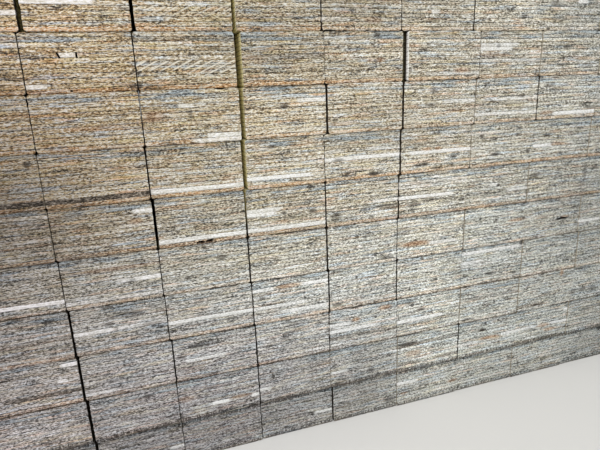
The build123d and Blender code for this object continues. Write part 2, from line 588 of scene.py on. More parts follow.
def weather_and_painted_light(beam, x, height):
    """Silvering, brightness with its painted fall-off of light, warmth of the lowest veneers and lilac cast,
    at points of an end.
    """
    own = np.random.default_rng(WEATHER_SEED + 20 * beam.layer + beam.beam)
    across = (x * MM - cad_box[0][0]) / (cad_box[1][0] - cad_box[0][0])
    z = beam.bottom + height
    up = z / SHOWN_HEIGHT
    lower_left = np.clip((0.22 - across) / 0.12, 0, 1) * np.clip((0.45 - up) / 0.15, 0, 1)

    # Warm at the upper left, with a soft start a quarter of the way up, and a little in the lower corner
    rising = np.clip((up - 0.27) / 0.50, 0, 1)
    rising = rising * rising * (3 - 2 * rising)
    warm = 0.08 + rising * (1.05 - 1.0 * across) + 0.22 * lower_left

    # Painted light: brightest a little right of the middle, darker towards the edges
    bright = 1.062 - 0.88 * (across - 0.58) ** 2 - 0.38 * (up - 0.52) ** 2
    for patch in BRIGHTNESS_PATCHES:
        far = ((x - patch.x) / patch.wide) ** 2 + ((z - patch.z) / patch.high) ** 2
        bright = bright + patch.change * np.exp(-far)
    bright = bright + own.uniform(-0.02, 0.02)

    orange, lost = ORANGE[beam.layer - 1]
    orange = orange * (1 - lost * across) + own.uniform(-0.08, 0.08)

    # Lilac grey low down and at the left, but less in the corner
    lilac = np.clip((0.45 - up) / 0.25, 0, 1) * np.clip((0.62 - across) / 0.3, 0, 1)
    lilac = lilac * (1 - 0.45 * lower_left)
    return {
        "silver": np.clip(1 - warm + own.uniform(-0.05, 0.05), 0, 1),
        "shade": np.clip(bright, 0.3, 1.2) ** 2.2,
        "orange": np.clip(orange, 0, 1),
        "lilac": lilac,
    }


print("patches:", len(BRIGHTNESS_PATCHES))


# %% [markdown]
# ## Strips and spots placed one by one
# Some things on the ends catch the eye by themselves: strips of white sapwood that run through one
# veneer, knots, and stains. They are listed by their place on the stack and stored as numbers at
# the points too. Chance patterns in the material would never put them where they are. A strip has
# soft ends, except where it runs on past a beam's side. One pale strip is not sapwood but a painted
# highlight: it runs through all twelve veneers of a beam in the ninth layer, where the lit side of
# that beam beside a gap is painted onto its end.

# %% Strips and spots
class Strip(NamedTuple):
    """A stretch of one veneer that differs from the rest, from one x to another across the stack."""

    layer: int
    veneer: int
    start: float
    end: float
    strength: float


class Spot(NamedTuple):
    """A knot or stain: its middle and half its size in mm from the stack's middle and the floor."""

    x: float
    z: float
    wide: float
    high: float
    strength: float


PALE_STRIPS = [Strip(*row) for row in [
    (10, 4, -232, -223, 0.9), (10, 6, -221, -180, 1.0), (10, 3, -28, -8, 0.5), (10, 5, 56, 64, 0.7),
    (10, 8, 196, 206, 0.9), (9, 2, -223, -212, 0.8), (9, 8, -204, -193, 0.8), (9, 11, -30, -11, 0.5),
    (9, 2, 51, 98, 0.5), (9, 8, 103, 133, 0.9), (9, 9, 103, 140, 0.7), (9, 5, 103, 160, 0.5),
    (8, 9, -223, -200, 0.4), (8, 1, -129, -94, 0.7), (8, 2, -118, -94, 0.9), (8, 9, -136, -126, 1.0),
    (8, 9, -126, -116, 0.5), (8, 9, -54, -32, 0.7), (8, 7, 68, 98, 0.6), (8, 7, 108, 160, 0.5),
    (8, 3, 101, 161, 0.6), (8, 2, 179, 224, 1.0), (7, 2, -159, -95, 1.0), (7, 3, -93, -43, 1.0),
    (7, 8, -30, -14, 0.5), (7, 8, 0, 30, 0.5), (7, 6, -31, 31, 0.8), (7, 11, 40, 97, 0.4),
    (7, 6, 40, 97, 0.8), (7, 10, 98, 127, 0.5), (7, 5, 164, 182, 0.8), (6, 10, -173, -161, 1.0),
    (6, 7, -184, -164, 0.5), (6, 11, -253, -228, 0.4), (6, 2, -159, -95, 1.0), (6, 7, -93, -68, 0.9),
    (6, 6, -93, -72, 0.9), (6, 2, -94, -35, 1.0), (6, 6, 7, 29, 0.6), (6, 9, 33, 96, 0.5),
    (6, 10, 33, 94, 0.5), (6, 6, 33, 82, 0.8), (6, 7, 119, 128, 1.0), (6, 5, 137, 158, 0.7),
    (5, 3, -272, -225, 1.0), (5, 6, -191, -179, 0.7), (5, 6, -179, -161, 1.0), (5, 2, -223, -161, 0.5),
    (5, 4, 60, 88, 0.7), (5, 4, 224, 250, 0.8), (4, 6, -220, -197, 0.9), (4, 6, -197, -160, 0.6),
    (4, 5, -158, -94, 1.0), (4, 10, -93, -76, 0.7), (4, 10, -56, -34, 0.8), (4, 5, -93, -50, 0.7),
    (4, 3, -73, -38, 0.8), (4, 11, 99, 160, 0.8), (4, 8, 96, 120, 0.6), (4, 7, 96, 126, 0.5),
    (3, 11, -235, -224, 1.0), (3, 7, -239, -232, 1.0), (3, 2, -221, -199, 0.6), (3, 6, -151, -118, 0.7),
    (3, 7, -111, -97, 0.4), (3, 6, -30, 13, 0.9), (3, 8, -30, -12, 0.7), (3, 5, 33, 77, 0.9),
    (2, 10, -126, -96, 0.5), (2, 4, -134, -118, 1.0), (2, 4, -101, -95, 1.0), (2, 5, -93, -84, 0.8),
    (2, 5, -84, -50, 0.4), (2, 5, -30, -15, 0.8), (2, 5, 98, 118, 0.6), (2, 6, 142, 184, 0.6),
    (2, 10, 217, 221, 1.0), (2, 6, 200, 222, 0.6), (1, 5, -170, -159, 0.8), (1, 5, -47, -33, 0.9),
    (1, 8, 37, 54, 1.0), (1, 9, 97, 104, 0.5),
]]
# A painted highlight: the lit side of this beam beside the gap, painted pale over all its veneers
PALE_STRIPS += [Strip(9, veneer, 33.0, 37.7, 0.9) for veneer in range(1, VENEERS + 1)]
DARK_STRIPS = [Strip(*row) for row in [
    (9, 7, -91, -32, 0.5), (9, 11, -158, -96, 0.4), (7, 2, -290, -160, 0.75), (7, 7, -225, -190, 0.3),
    (5, 8, 34, 92, 0.35), (4, 4, -93, -34, 0.3), (4, 6, -280, -224, 0.4), (3, 4, -276, -224, 0.6),
    (3, 4, -30, 30, 0.5), (3, 4, 50, 92, 0.4), (3, 8, 98, 158, 0.4), (3, 2, 163, 194, 0.6),
    (2, 9, 33, 93, 0.45), (2, 3, 36, 56, 0.5), (2, 3, 68, 92, 0.5),
]]
SPOTS = [Spot(*row) for row in [
    (141, 334, 3, 1.3, 0.6), (172, 345, 4, 2, 0.5), (11, 321, 2, 1.5, 0.6), (-25, 323, 1, 2, 0.7),
    (-22, 323, 1, 2, 0.7), (-19, 323, 1, 2, 0.7), (119, 313, 1.6, 2, 0.5), (136, 310, 3, 0.6, 0.8),
    (158, 290, 1.2, 1, 0.9), (161, 289, 1, 0.9, 0.9), (188, 311, 3.5, 1, 0.8), (165, 300, 1.2, 1, 0.8),
    (186, 297, 6, 1.2, 0.6), (212, 296, 5, 1.5, 0.35), (-62, 274, 3, 1.6, 0.8), (-8, 279, 0.9, 0.9, 0.9),
    (61, 280, 3, 1, 0.7), (59, 269, 3, 1, 0.7), (-128, 272, 1.2, 3, 0.6), (173, 280, 5, 0.9, 0.6),
    (181, 277, 6, 1.3, 0.4), (145, 273, 3, 1, 0.7), (220, 260, 6, 1, 0.5), (-232, 246, 2, 1.5, 0.7),
    (-73, 246, 2.5, 1.3, 0.8), (-21, 232, 4, 0.9, 0.6), (9, 219, 4, 1.4, 0.9), (54, 223, 3.5, 1.4, 0.8),
    (81, 227, 2.2, 0.9, 1.0), (65, 219, 4, 1.1, 0.7), (107, 242, 2, 1.2, 0.8), (119, 239, 3, 1.5, 0.6),
    (144, 241, 2.5, 1, 0.7), (145, 246, 2, 0.9, 0.8), (122, 226, 4, 1.1, 0.9), (156, 226, 2, 1.7, 0.8),
    (176, 238, 3, 0.8, 0.8), (174, 218, 3, 1.8, 0.4), (-66, 196, 2, 1, 0.8), (-43, 195, 3, 1.7, 0.7),
    (-24, 188, 4, 3, 0.6), (0, 191, 3, 1.2, 0.5), (20, 192, 10, 1.1, 0.7), (24, 190, 7, 0.8, 0.7),
    (45, 190, 5, 2, 0.6), (128, 199, 1.6, 1, 0.9), (151, 199, 4, 1.6, 0.4), (159, 190, 1, 2, 0.6),
    (167, 204, 6, 1.8, 0.6), (199, 194, 1.2, 0.9, 0.9), (224, 203, 2, 6, 0.5), (-173, 173, 6, 1, 0.5),
    (-188, 153, 0.8, 1.2, 0.8), (91, 190, 2.6, 1.2, 0.7), (153, 114, 2.2, 1.2, 0.7), (-171, 153, 1, 1, 0.8),
    (-131, 168, 5, 1, 0.6), (-116, 167, 3, 1.7, 0.6), (-141, 155, 2.2, 1.2, 0.7), (-69, 168, 2.5, 1, 0.6),
    (-57, 170, 1, 0.9, 0.9), (-6, 169, 1, 1, 0.8), (1, 168, 0.9, 1.2, 0.8), (21, 148, 5, 1.4, 0.7),
    (16, 152, 1.5, 0.9, 0.8), (128, 167, 2, 1.3, 0.7), (158, 166, 2, 1.4, 0.8), (101, 153, 1.1, 1, 0.8),
    (159, 142, 2.6, 2, 0.9), (-199, 129, 3, 1.4, 0.6), (-183, 134, 8, 3, 0.45), (-256, 129, 1.4, 0.9, 0.8),
    (-170, 124, 8, 1.4, 0.45), (-87, 130, 3, 0.9, 0.7), (-24, 113, 4, 1.3, 0.7), (-7, 134, 1, 0.9, 0.9),
    (22, 131, 1.4, 0.9, 0.8), (126, 117, 4, 1.3, 0.7), (99, 118, 2, 1.5, 0.6), (184, 131, 4, 1.3, 0.5),
    (183, 120, 2, 1.2, 0.8), (211, 118, 2.5, 0.6, 0.9), (231, 106, 6, 0.9, 0.7), (-137, 100, 8, 2.2, 0.5),
    (-152, 93, 3, 0.8, 0.95), (-62, 103, 5, 1.8, 0.45), (-66, 96, 5, 0.9, 0.5), (-84, 87, 4, 0.8, 0.7),
    (55, 94, 3.6, 1.1, 0.8), (148, 97, 2, 0.9, 0.8), (103, 75, 5, 1.2, 0.6), (181, 76, 3, 0.9, 0.9),
    (227, 82, 4, 2.6, 0.5), (238, 83, 4, 2.6, 0.5), (252, 82, 4, 2.6, 0.5), (-244, 68, 4, 0.7, 0.7),
    (-180, 66, 4, 1.4, 0.7), (-187, 54, 2, 0.8, 0.7), (-133, 61, 4, 1, 0.5), (-119, 60, 3, 1, 0.5),
    (-102, 38, 1.2, 1, 0.8), (-6, 65, 4, 1, 0.5), (6, 45, 3, 1.6, 0.7), (-21, 45, 3, 1, 0.5),
    (42, 63, 7, 1.7, 0.8), (121, 61, 3.2, 1.2, 1.0), (146, 66, 4, 1.7, 0.35), (200, 38, 12, 1.6, 0.5),
    (241, 45, 8, 0.8, 0.5), (-54, 27, 4, 1, 0.5), (-73, 6, 2, 1.4, 0.7), (26, 9, 5, 2.6, 0.5),
    (113, 13, 1.4, 1.4, 0.8), (168, 15, 1.2, 1.8, 0.7), (246, 30, 1.4, 4, 0.5),
]]
AMBER = [Spot(*row) for row in [
    (-184, 266, 20, 1.4, 0.5), (-152, 271, 6, 2.6, 0.8), (-128, 226, 6, 1.3, 0.7), (-107, 226, 5, 1.2, 0.7),
    (8, 331, 6, 1.8, 0.6), (6, 304, 3, 1, 0.8), (14, 304, 3.5, 1.4, 0.8), (85, 295, 6, 1.6, 0.9),
    (-18, 259, 8, 1.2, 0.6), (81, 264, 8, 1.5, 0.5), (115, 306, 13, 1.6, 0.5), (172, 258, 6, 1.6, 0.7),
    (56, 235, 4, 1.2, 1.0), (66, 235, 3, 1.2, 1.0), (47, 208, 6, 1, 0.3), (189, 230, 7, 1.2, 0.8),
    (-172, 202, 4, 1.6, 0.8), (-190, 170, 26, 1.4, 0.6), (47, 156, 11, 1.9, 1.0), (151, 165, 8, 1.3, 0.8),
    (206, 161, 4, 0.9, 0.8), (-66, 137, 9, 1.6, 0.8), (-8, 97, 3, 1.6, 1.0), (19, 103, 5.5, 1.7, 0.9),
    (209, 105, 1.8, 3, 0.9), (-152, 56, 6, 1.4, 0.6), (-110, 48, 8, 1.4, 0.8), (48, 53, 7, 2, 0.6),
    (129, 52, 10, 1.4, 1.0), (193, 52, 7, 1.6, 0.7), (202, 46, 6, 1.2, 0.8), (40, 12, 3.5, 1.1, 0.7),
    (92, 13, 5, 1.4, 0.8),
]]
SCRATCHED = [Strip(*row) for row in [
    (9, 6, -158, -97, 1.0), (9, 5, -158, -97, 0.9), (9, 4, -125, -97, 0.8), (10, 5, -157, -100, 0.7),
    (10, 4, -157, -95, 0.4), (8, 3, -155, -130, 0.6), (8, 2, -91, -34, 0.5), (8, 1, -29, 32, 0.4),
    (9, 4, -205, -165, 0.5), (8, 2, 35, 96, 0.35),
]]
SOFT_EDGE, SOFT_END = 0.35, 6.0
SPOT_CORE, SPOT_FALL = 2.0, 1.3


def paint_strips(strips, beam, x, height):
    """How strongly each point of an end lies in one of the strips, from 0 to 1."""
    amount = np.zeros_like(x)
    for strip in [strip for strip in strips if strip.layer == beam.layer]:
        runs_on_left = abs(strip.start - beam.left) < SOFT_END
        runs_on_right = abs(strip.end - beam.left - beam.width) < SOFT_END
        start = strip.start - SOFT_END * runs_on_left
        end = strip.end + SOFT_END * runs_on_right
        soft = min(SOFT_END, (strip.end - strip.start) / 3)
        along = np.clip(np.minimum(x - start, end - x) / soft + 0.5, 0, 1)
        middle = VENEER * (strip.veneer - 0.5)
        upright = np.clip((VENEER / 2 - np.abs(height - middle)) / SOFT_EDGE + 0.5, 0, 1)
        amount = np.maximum(amount, strip.strength * along * upright)
    return amount


def paint_spots(spots, beam, x, height):
    """How strongly each point of an end lies in one of the spots, from 0 to 1."""
    amount = np.zeros_like(x)
    for spot in spots:
        far = np.hypot((x - spot.x) / spot.wide, (beam.bottom + height - spot.z) / spot.high)
        amount = np.maximum(amount, spot.strength * np.clip(SPOT_CORE - SPOT_FALL * far, 0, 1))
    return amount


print("placed by hand:", len(PALE_STRIPS + DARK_STRIPS), "strips and", len(SPOTS + AMBER), "spots")


# %% [markdown]
# ## One beam's mesh
# A beam is a tube with a grid at each end. The front grid is fine, the back one coarser, and the
# long faces need only a few rings. Between the fine edge of an end and the coarse tube lies one
# ring of larger polygons. First come the grid's faces and its border.

# %% Grids and rings
def border(columns, rows):
    """The border of a grid numbered column by column, from the lower left corner, and its corners."""
    loop = [column * rows for column in range(columns)]
    loop += [(columns - 1) * rows + row for row in range(1, rows)]
    loop += [column * rows + rows - 1 for column in range(columns - 2, -1, -1)]
    loop += list(range(rows - 2, 0, -1))
    turns = [0, columns - 1, columns + rows - 2, 2 * columns + rows - 3, len(loop)]
    return loop, turns


def grid_faces(columns, rows):
    """The four-sided faces of a grid numbered column by column."""
    column, row = np.meshgrid(np.arange(columns - 1), np.arange(rows - 1), indexing="ij")
    first = (column * rows + row).ravel()
    return np.stack([first, first + rows, first + rows + 1, first + 1], axis=1)


def ring_places(ring, turns):
    """Which side each step of a ring belongs to, and how far along that side its two ends lie."""
    places = []
    for side in range(4):
        at = [step % len(ring) for step in range(turns[side], turns[side + 1] + 1)]
        steps = np.linalg.norm(np.diff(ring[at], axis=0), axis=1)
        reach = np.concatenate([[0.0], np.cumsum(steps)]) / steps.sum()
        places += [(side, reach[n], reach[n + 1]) for n in range(len(at) - 1)]
    return places


print("3 by 3 points:", len(grid_faces(3, 3)), "faces and", len(border(3, 3)[0]), "border points")


# %% [markdown]
# ## Where things go on the texture map
# When the model leaves Blender, its materials are painted onto a square picture for each beam. The
# map gives the front end most of the room, because that is what people look at. A long face that
# shows is folded into six strips laid side by side, and a hidden one gets very little.

# %% Rooms of the texture map
STRIPS = 6


def place_on(rect, u, v):
    """A place inside a rectangle of the texture map, from 0 to 1 both ways."""
    return np.stack([rect[0] + u * (rect[2] - rect[0]), rect[1] + v * (rect[3] - rect[1])], axis=-1)


def strip_rooms(room, fill):
    """A rectangle cut into strips side by side, with a little space between them."""
    wide = (room[2] - room[0]) / STRIPS
    return [(room[0] + n * wide, room[1], room[0] + (n + fill) * wide, room[3]) for n in range(STRIPS)]


def map_rooms(shown):
    """The rectangles of the texture map: front end, back end, and each long face's strips."""
    if shown:
        rooms = {"front": (0.01, 0.61, 0.67, 0.987), "back": (0.70, 0.82, 0.99, 0.987)}
        hidden = (0.70, 0.61, 0.99, 0.79)
    else:
        rooms = {"front": (0.01, 0.43, 0.99, 0.99), "back": (0.01, 0.10, 0.55, 0.4086)}
        hidden = (0.60, 0.10, 0.99, 0.40)
    for at, side in enumerate(shown):
        wide = 0.98 / len(shown)
        rooms[side] = strip_rooms((0.01 + at * wide, 0.01, 0.01 + (at + 1) * wide, 0.59), 0.93)
    hidden_sides = [side for side in range(4) if side not in shown]
    for at, side in enumerate(hidden_sides):
        high = (hidden[3] - hidden[1]) / len(hidden_sides)
        low = hidden[1] + at * high
        rooms[side] = strip_rooms((hidden[0], low, hidden[2], low + 0.8 * high), 0.9)
    return rooms


left, low, right, high = map_rooms([])["front"]
print("the front end of a beam inside fills", round(100 * (right - left) * (high - low)), "% of its map")


# %% [markdown]
# ## The points of an end
# This is where the earlier steps meet. A point starts on the even grid, moves with the wander of
# the glue lines, leans beside an open joint, is bent round the corner and broken back at the edge,
# and sinks by the relief and the marks. It also takes along the numbers that the materials read.

# %% Points and numbers of an end
TIGHT_GAP = 0.6
DARK_BELOW = 1.5
NUMBERS = ["ply", "silver", "shade", "orange", "lilac", "torn", "pale", "dark", "spot", "amber", "scratched",
           "deep", "tight"]
IN_BEAM = (0.001, VENEERS - 0.001)


def tight_sides(beam, x):
    """1 for the points on a side whose neighbour is pushed up tight, and 0 for the others."""
    near = {other.beam: other for other in beams if other.layer == beam.layer}
    before, after = near.get(beam.beam - 1), near.get(beam.beam + 1)
    left = before is not None and beam.left - before.left - before.width < TIGHT_GAP
    right = after is not None and after.left - beam.left - beam.width < TIGHT_GAP
    return np.where(x < beam.width / 2, float(left), float(right))


def end_points(beam, column_count, between_rows, splinters, joints):
    """The grid of one end: its lines, its points' x, z and depth in mm, and each point's numbers."""
    more_columns, more_rows = mark_lines(splinters, joints)
    inner_columns = np.linspace(CORNER_LINES[-1], beam.width - CORNER_LINES[-1], column_count)
    across = side_lines(beam.width, inner_columns, more_columns)
    up = side_lines(HEIGHT, between_rows, more_rows)
    x, height = np.meshgrid(across, up, indexing="ij")
    along = x + beam.left
    z = height + glue_line_shift(beam.layer, along, height)
    torn = mark_depth(x, z, splinters, []) + mark_depth(x, height, [], joints)
    points_x, points_z = eased(x + joint_lean(x, height, joints), z, beam.width)
    points_x, points_z = break_edges(beam, points_x, points_z)
    numbers = weather_and_painted_light(beam, along, height)
    numbers["deep"] = np.zeros_like(x)
    numbers["tight"] = tight_sides(beam, x)
    numbers["ply"] = VENEERS * (beam.layer - 1) + np.clip(height / VENEER, *IN_BEAM)
    # How deep the pockets and open joints go, which the material paints near black: painted shade in these
    # hollows
    numbers["torn"] = np.clip(torn / DARK_BELOW, 0, 1)
    for name, paint, marks in (("pale", paint_strips, PALE_STRIPS), ("dark", paint_strips, DARK_STRIPS),
                               ("scratched", paint_strips, SCRATCHED), ("spot", paint_spots, SPOTS),
                               ("amber", paint_spots, AMBER)):
        numbers[name] = paint(marks, beam, along, height)
    return across, up, points_x, points_z, relief(beam, along, height) + torn, numbers


print("numbers stored at each point:", ", ".join(NUMBERS))


# %% [markdown]
# ## Collecting the mesh
# Blender takes a mesh as a list of points and a list of faces. A small class collects both, with
# each face's places on the texture map and its material, so that the ends, rings and bands can be
# added one after another.

# %% A mesh being collected
SHARP_FROM = math.radians(38)


class Shape:
    """Points with their numbers, and faces with their places on the texture map and material."""

    def __init__(self):
        self.points = []
        self.count = 0
        self.numbers = {name: [] for name in NUMBERS}
        self.faces = []
        self.spots = []
        self.kinds = []
        self.smooth = []

    def add_points(self, points, numbers):
        """Adds points, with a number or a list of numbers for each name, and gives the first one's index."""
        first = self.count
        self.points.append(points)
        self.count += len(points)
        for name in NUMBERS:
            self.numbers[name].append(np.broadcast_to(numbers.get(name, 0.0), (len(points),)))
        return first

    def add_face(self, face, spots, kind, smooth):
        """Adds one face."""
        self.faces.append(face)
        self.spots.append(spots)
        self.kinds.append(kind)
        self.smooth.append(smooth)

    def mesh(self, name, place):
        """The Blender mesh, moved to a place in mm."""
        mesh = bpy.data.meshes.new(name)
        mesh.from_pydata(((np.concatenate(self.points) + place) * MM).tolist(), [], self.faces)
        mesh.polygons.foreach_set("material_index", self.kinds)
        mesh.polygons.foreach_set("use_smooth", self.smooth)
        uv = mesh.uv_layers.new(name="OFBake")
        uv.data.foreach_set("uv", np.concatenate([np.array(spots) for spots in self.spots]).ravel())
        for number, values in self.numbers.items():
            attribute = mesh.attributes.new(number, "FLOAT", "POINT")
            attribute.data.foreach_set("value", np.concatenate(values).astype(np.float32))
        mesh.set_sharp_from_angle(angle=SHARP_FROM)
        mesh.validate()
        return mesh


print("an empty shape has", Shape().count, "points")


# %% [markdown]
# ## Ends, rings and bands
# An end adds its grid and tells the tube where its border runs. A ring is one more outline of the
# beam further along it, and a band joins two outlines. Where a band joins the fine border of an end
# to the coarse tube, each of its faces takes in all the fine points along one coarse step.

# %% Add an end, a ring or a band
END, EDGE, FACE, INNER = range(4)
ARRIS_SHARE = 0.2
SIDE_SILVER, SIDE_SHADE = (0.3, 0.8), (0.78, 1.0)


def add_end(shape, beam, room, column_count, between_rows, splinters, joints, at_back):
    """Adds one end's grid. Gives its border, the border's corners and outline, and which of its points
    the coarse tube keeps."""
    across, up, x, z, depth, numbers = end_points(beam, column_count, between_rows, splinters, joints)
    y = beam.length - depth if at_back else depth
    first = shape.add_points(np.stack([x.ravel(), y.ravel(), z.ravel()], axis=1),
                             {name: values.ravel() for name, values in numbers.items()})
    grid_x, grid_z = (grid.ravel() for grid in np.meshgrid(across, up, indexing="ij"))
    u = 1 - grid_x / beam.width if at_back else grid_x / beam.width
    spots = place_on(room, u, grid_z / HEIGHT)
    quads = grid_faces(len(across), len(up))
    if at_back:
        quads = quads[:, ::-1]
    for quad in quads:
        shape.add_face((quad + first).tolist(), spots[quad].tolist(), END, True)
    loop, turns = border(len(across), len(up))
    plain_x, plain_z = eased(grid_x, grid_z, beam.width)
    ring = np.stack([plain_x[loop], plain_z[loop]], axis=1)
    fixed_x = set(CORNER_LINES + [beam.width - line for line in CORNER_LINES])
    fixed_z = set(CORNER_LINES + [HEIGHT - line for line in CORNER_LINES])
    keep = [at for at, vertex in enumerate(loop) if grid_x[vertex] in fixed_x and grid_z[vertex] in fixed_z]
    return [first + vertex for vertex in loop], turns, ring, keep


def add_ring(shape, beam, ring, y):
    """Adds the points of one outline at a distance along the beam, and gives their indices."""
    ply = VENEERS * (beam.layer - 1) + np.clip(ring[:, 1] / VENEER, *IN_BEAM)
    own = np.random.default_rng(40 * beam.layer + beam.beam)
    numbers = {"ply": ply, "silver": own.uniform(*SIDE_SILVER), "shade": own.uniform(*SIDE_SHADE),
               "deep": min(y, beam.length - y), "tight": tight_sides(beam, ring[:, 0])}
    first = shape.add_points(np.stack([ring[:, 0], np.full(len(ring), y), ring[:, 1]], axis=1), numbers)
    return list(range(first, first + len(ring)))


def add_band(shape, rooms, kinds, near, places, far, steps, y_near, y_far):
    """Adds the faces from one outline to the next. For each step of the near outline, steps lists the
    far outline's points along it, each with how far along the side it lies."""
    strip = min(int((y_near + y_far) / 2 / STRIP), STRIPS - 1)
    low, high = y_near / STRIP - strip, y_far / STRIP - strip
    for step, (side, start, end) in enumerate(places):
        a, b = near[step], near[(step + 1) % len(near)]
        face = [a] + [far[at % len(far)] for at, _ in steps[step]] + [b]
        spots = [(start, low)] + [(reach, high) for _, reach in steps[step]] + [(end, low)]
        if y_far < y_near:
            face, spots = face[::-1], spots[::-1]
        on_map = [place_on(rooms[side][strip], u, v).tolist() for u, v in spots]
        rounded = end - start < ARRIS_SHARE and len(steps[step]) == 2
        shape.add_face(face, on_map, kinds[side], rounded)


print("materials of a beam's faces: end", END, "edge", EDGE, "face", FACE, "inner", INNER)


# %% [markdown]
# ## Put a beam together
# Two ends, nine outlines and the bands between them make the beam. The sides are numbered as the
# border runs: bottom, right, top, left.

# %% Build one beam
FINE_RING = 3.0
COARSE_RING = 15.0
STRIP = 400.0
BOTTOM, RIGHT, TOP, LEFT = range(4)


def step_by_step(places):
    """Each step of an outline joined to the same step of an outline with as many points."""
    return [[(n, start), (n + 1, end)] for n, (_, start, end) in enumerate(places)]


def finer_steps(keep, ring, places):
    """For each step of the coarse tube, the fine outline's points along it."""
    steps = []
    for begin, finish in zip(keep, keep[1:] + [len(ring)]):
        steps.append([(begin, places[begin][1])] + [(at + 1, places[at][2]) for at in range(begin, finish)])
    return steps


def build_beam(beam, shown):
    """One beam's mesh, with its texture map. Shown lists the long sides that can be seen."""
    here = (beam.layer, beam.beam)
    splinters = [mark for mark in SPLINTERS if (mark.layer, mark.beam) == here]
    joints = [mark for mark in OPEN_JOINTS if (mark.layer, mark.beam) == here]
    shape = Shape()
    rooms = map_rooms(shown)
    kinds = [(FACE if side in (BOTTOM, TOP) else EDGE) if side in shown else INNER for side in range(4)]
    front, front_turns, front_ring, front_keep = add_end(
        shape, beam, rooms["front"], FRONT_COLUMNS, front_rows, splinters, joints, at_back=False)
    back, back_turns, back_ring, back_keep = add_end(
        shape, beam, rooms["back"], BACK_COLUMNS, back_rows, [], [], at_back=True)

    coarse = front_ring[front_keep]
    coarse_turns = [front_keep.index(turn) for turn in front_turns[:-1]] + [len(front_keep)]
    levels = [COARSE_RING] + [STRIP * n for n in range(1, STRIPS)] + [beam.length - COARSE_RING]
    front_fine = add_ring(shape, beam, front_ring, FINE_RING)
    back_fine = add_ring(shape, beam, back_ring, beam.length - FINE_RING)
    rings = [add_ring(shape, beam, coarse, level) for level in levels]

    front_places = ring_places(front_ring, front_turns)
    back_places = ring_places(back_ring, back_turns)
    coarse_places = ring_places(coarse, coarse_turns)
    to_front = finer_steps(front_keep, front_ring, front_places)
    to_back = finer_steps(back_keep, back_ring, back_places)
    add_band(shape, rooms, kinds, front, front_places, front_fine, step_by_step(front_places), 0.0, FINE_RING)
    add_band(shape, rooms, kinds, rings[0], coarse_places, front_fine, to_front, COARSE_RING, FINE_RING)
    for at in range(len(rings) - 1):
        add_band(shape, rooms, kinds, rings[at], coarse_places, rings[at + 1], step_by_step(coarse_places),
                 levels[at], levels[at + 1])
    add_band(shape, rooms, kinds, rings[-1], coarse_places, back_fine, to_back,
             levels[-1], beam.length - FINE_RING)
    add_band(shape, rooms, kinds, back_fine, back_places, back, step_by_step(back_places),
             beam.length - FINE_RING, beam.length)
    return shape.mesh(f"beam_{beam.layer:02d}_{beam.beam}", np.array([beam.left, beam.front, beam.bottom]))


print("a beam has", STRIPS, "strips of", STRIP, "mm")


# %% [markdown]
# ## Sawn end grain
# Softwood veneer lumber, cross-cut with a saw and left outdoors. The eye sees twelve bands, each
# veneer with a tone of its own, fine dark glue lines, the thin lines of growth rings running almost
# along the veneers, and a rough mix of pale fibre ends and dark pits. Weather adds silver,
# blue-grey stain and mould. Photographs could show all this, but a graph of noise textures stays
# sharp at any distance and is different on each beam. It is built in small steps from here on.

# %% End grain: the numbers it reads and its coordinates
m = end_grain = new_material("sawn_end_grain")
carried = {name: add(m, "Attribute", attribute_name=name).outputs["Fac"] for name in NUMBERS}
ply = carried["ply"]
split = add(m, "SeparateXYZ", {0: add(m, "TexCoord").outputs["Object"]})
x_mm = add(m, "Math", {0: split.outputs["X"], 1: 1 / MM}, operation="MULTIPLY")
height_mm = add(m, "Math", {0: ply, 1: VENEER}, operation="MULTIPLY")
veneer = add(m, "Math", {0: ply}, operation="FLOOR")
in_beam = add(m, "Math", {0: ply, 1: float(VENEERS)}, operation="MODULO")
VENEERS_APART = 17.3
apart = add(m, "Math", {0: veneer, 1: VENEERS_APART}, operation="MULTIPLY")
place = add(m, "CombineXYZ", {0: x_mm, 1: height_mm, 2: apart})
print("numbers read:", len(carried))


# %% [markdown]
# ### Streaks and grit
# Along a veneer the tone changes in streaks: some run for several centimetres, some for a few
# millimetres, and the sawn fibres themselves make a grit of flat dashes. Three noises, stretched by
# those lengths, add up to one tone. The dashes are two millimetres long and drawn a little coarser
# than the real fibres, which are too fine to show.

# %% End grain: tone
LONG_STREAK = (34.0, 1.9, 1.0)
SHORT_STREAK = (5.0, 0.9, 2.7)
GRIT = (1.9, 0.66, 2.0)
LONG_SHARE, SHORT_SHARE, GRIT_SHARE, OWN_SHARE = 0.78, 0.80, 3.3, 0.22

own_tone = add(m, "TexWhiteNoise", {"W": veneer}, noise_dimensions="1D")
own = add(m, "SeparateColor", {0: own_tone.outputs["Color"]})
long_streaks = stretched_noise(m, place, LONG_STREAK, 2.0, 0.55)
short_streaks = stretched_noise(m, place, SHORT_STREAK, 2.0)
grit = stretched_noise(m, place, GRIT, 2.0, 0.65)
middle_tone = 0.5 - (LONG_SHARE + SHORT_SHARE + GRIT_SHARE + OWN_SHARE) / 2
tone = added_up(m, middle_tone, (long_streaks, LONG_SHARE), (short_streaks, SHORT_SHARE),
                (grit, GRIT_SHARE), (own.outputs[0], OWN_SHARE))
print("tone is made of", 4, "parts")


# %% [markdown]
# ### From tone to colour
# The same tone is read through three ramps: warm wood, wood gone silver, and the lilac grey of the
# lower left. Their dark ends are pits between fibres and their pale ends are loose fibre bundles.

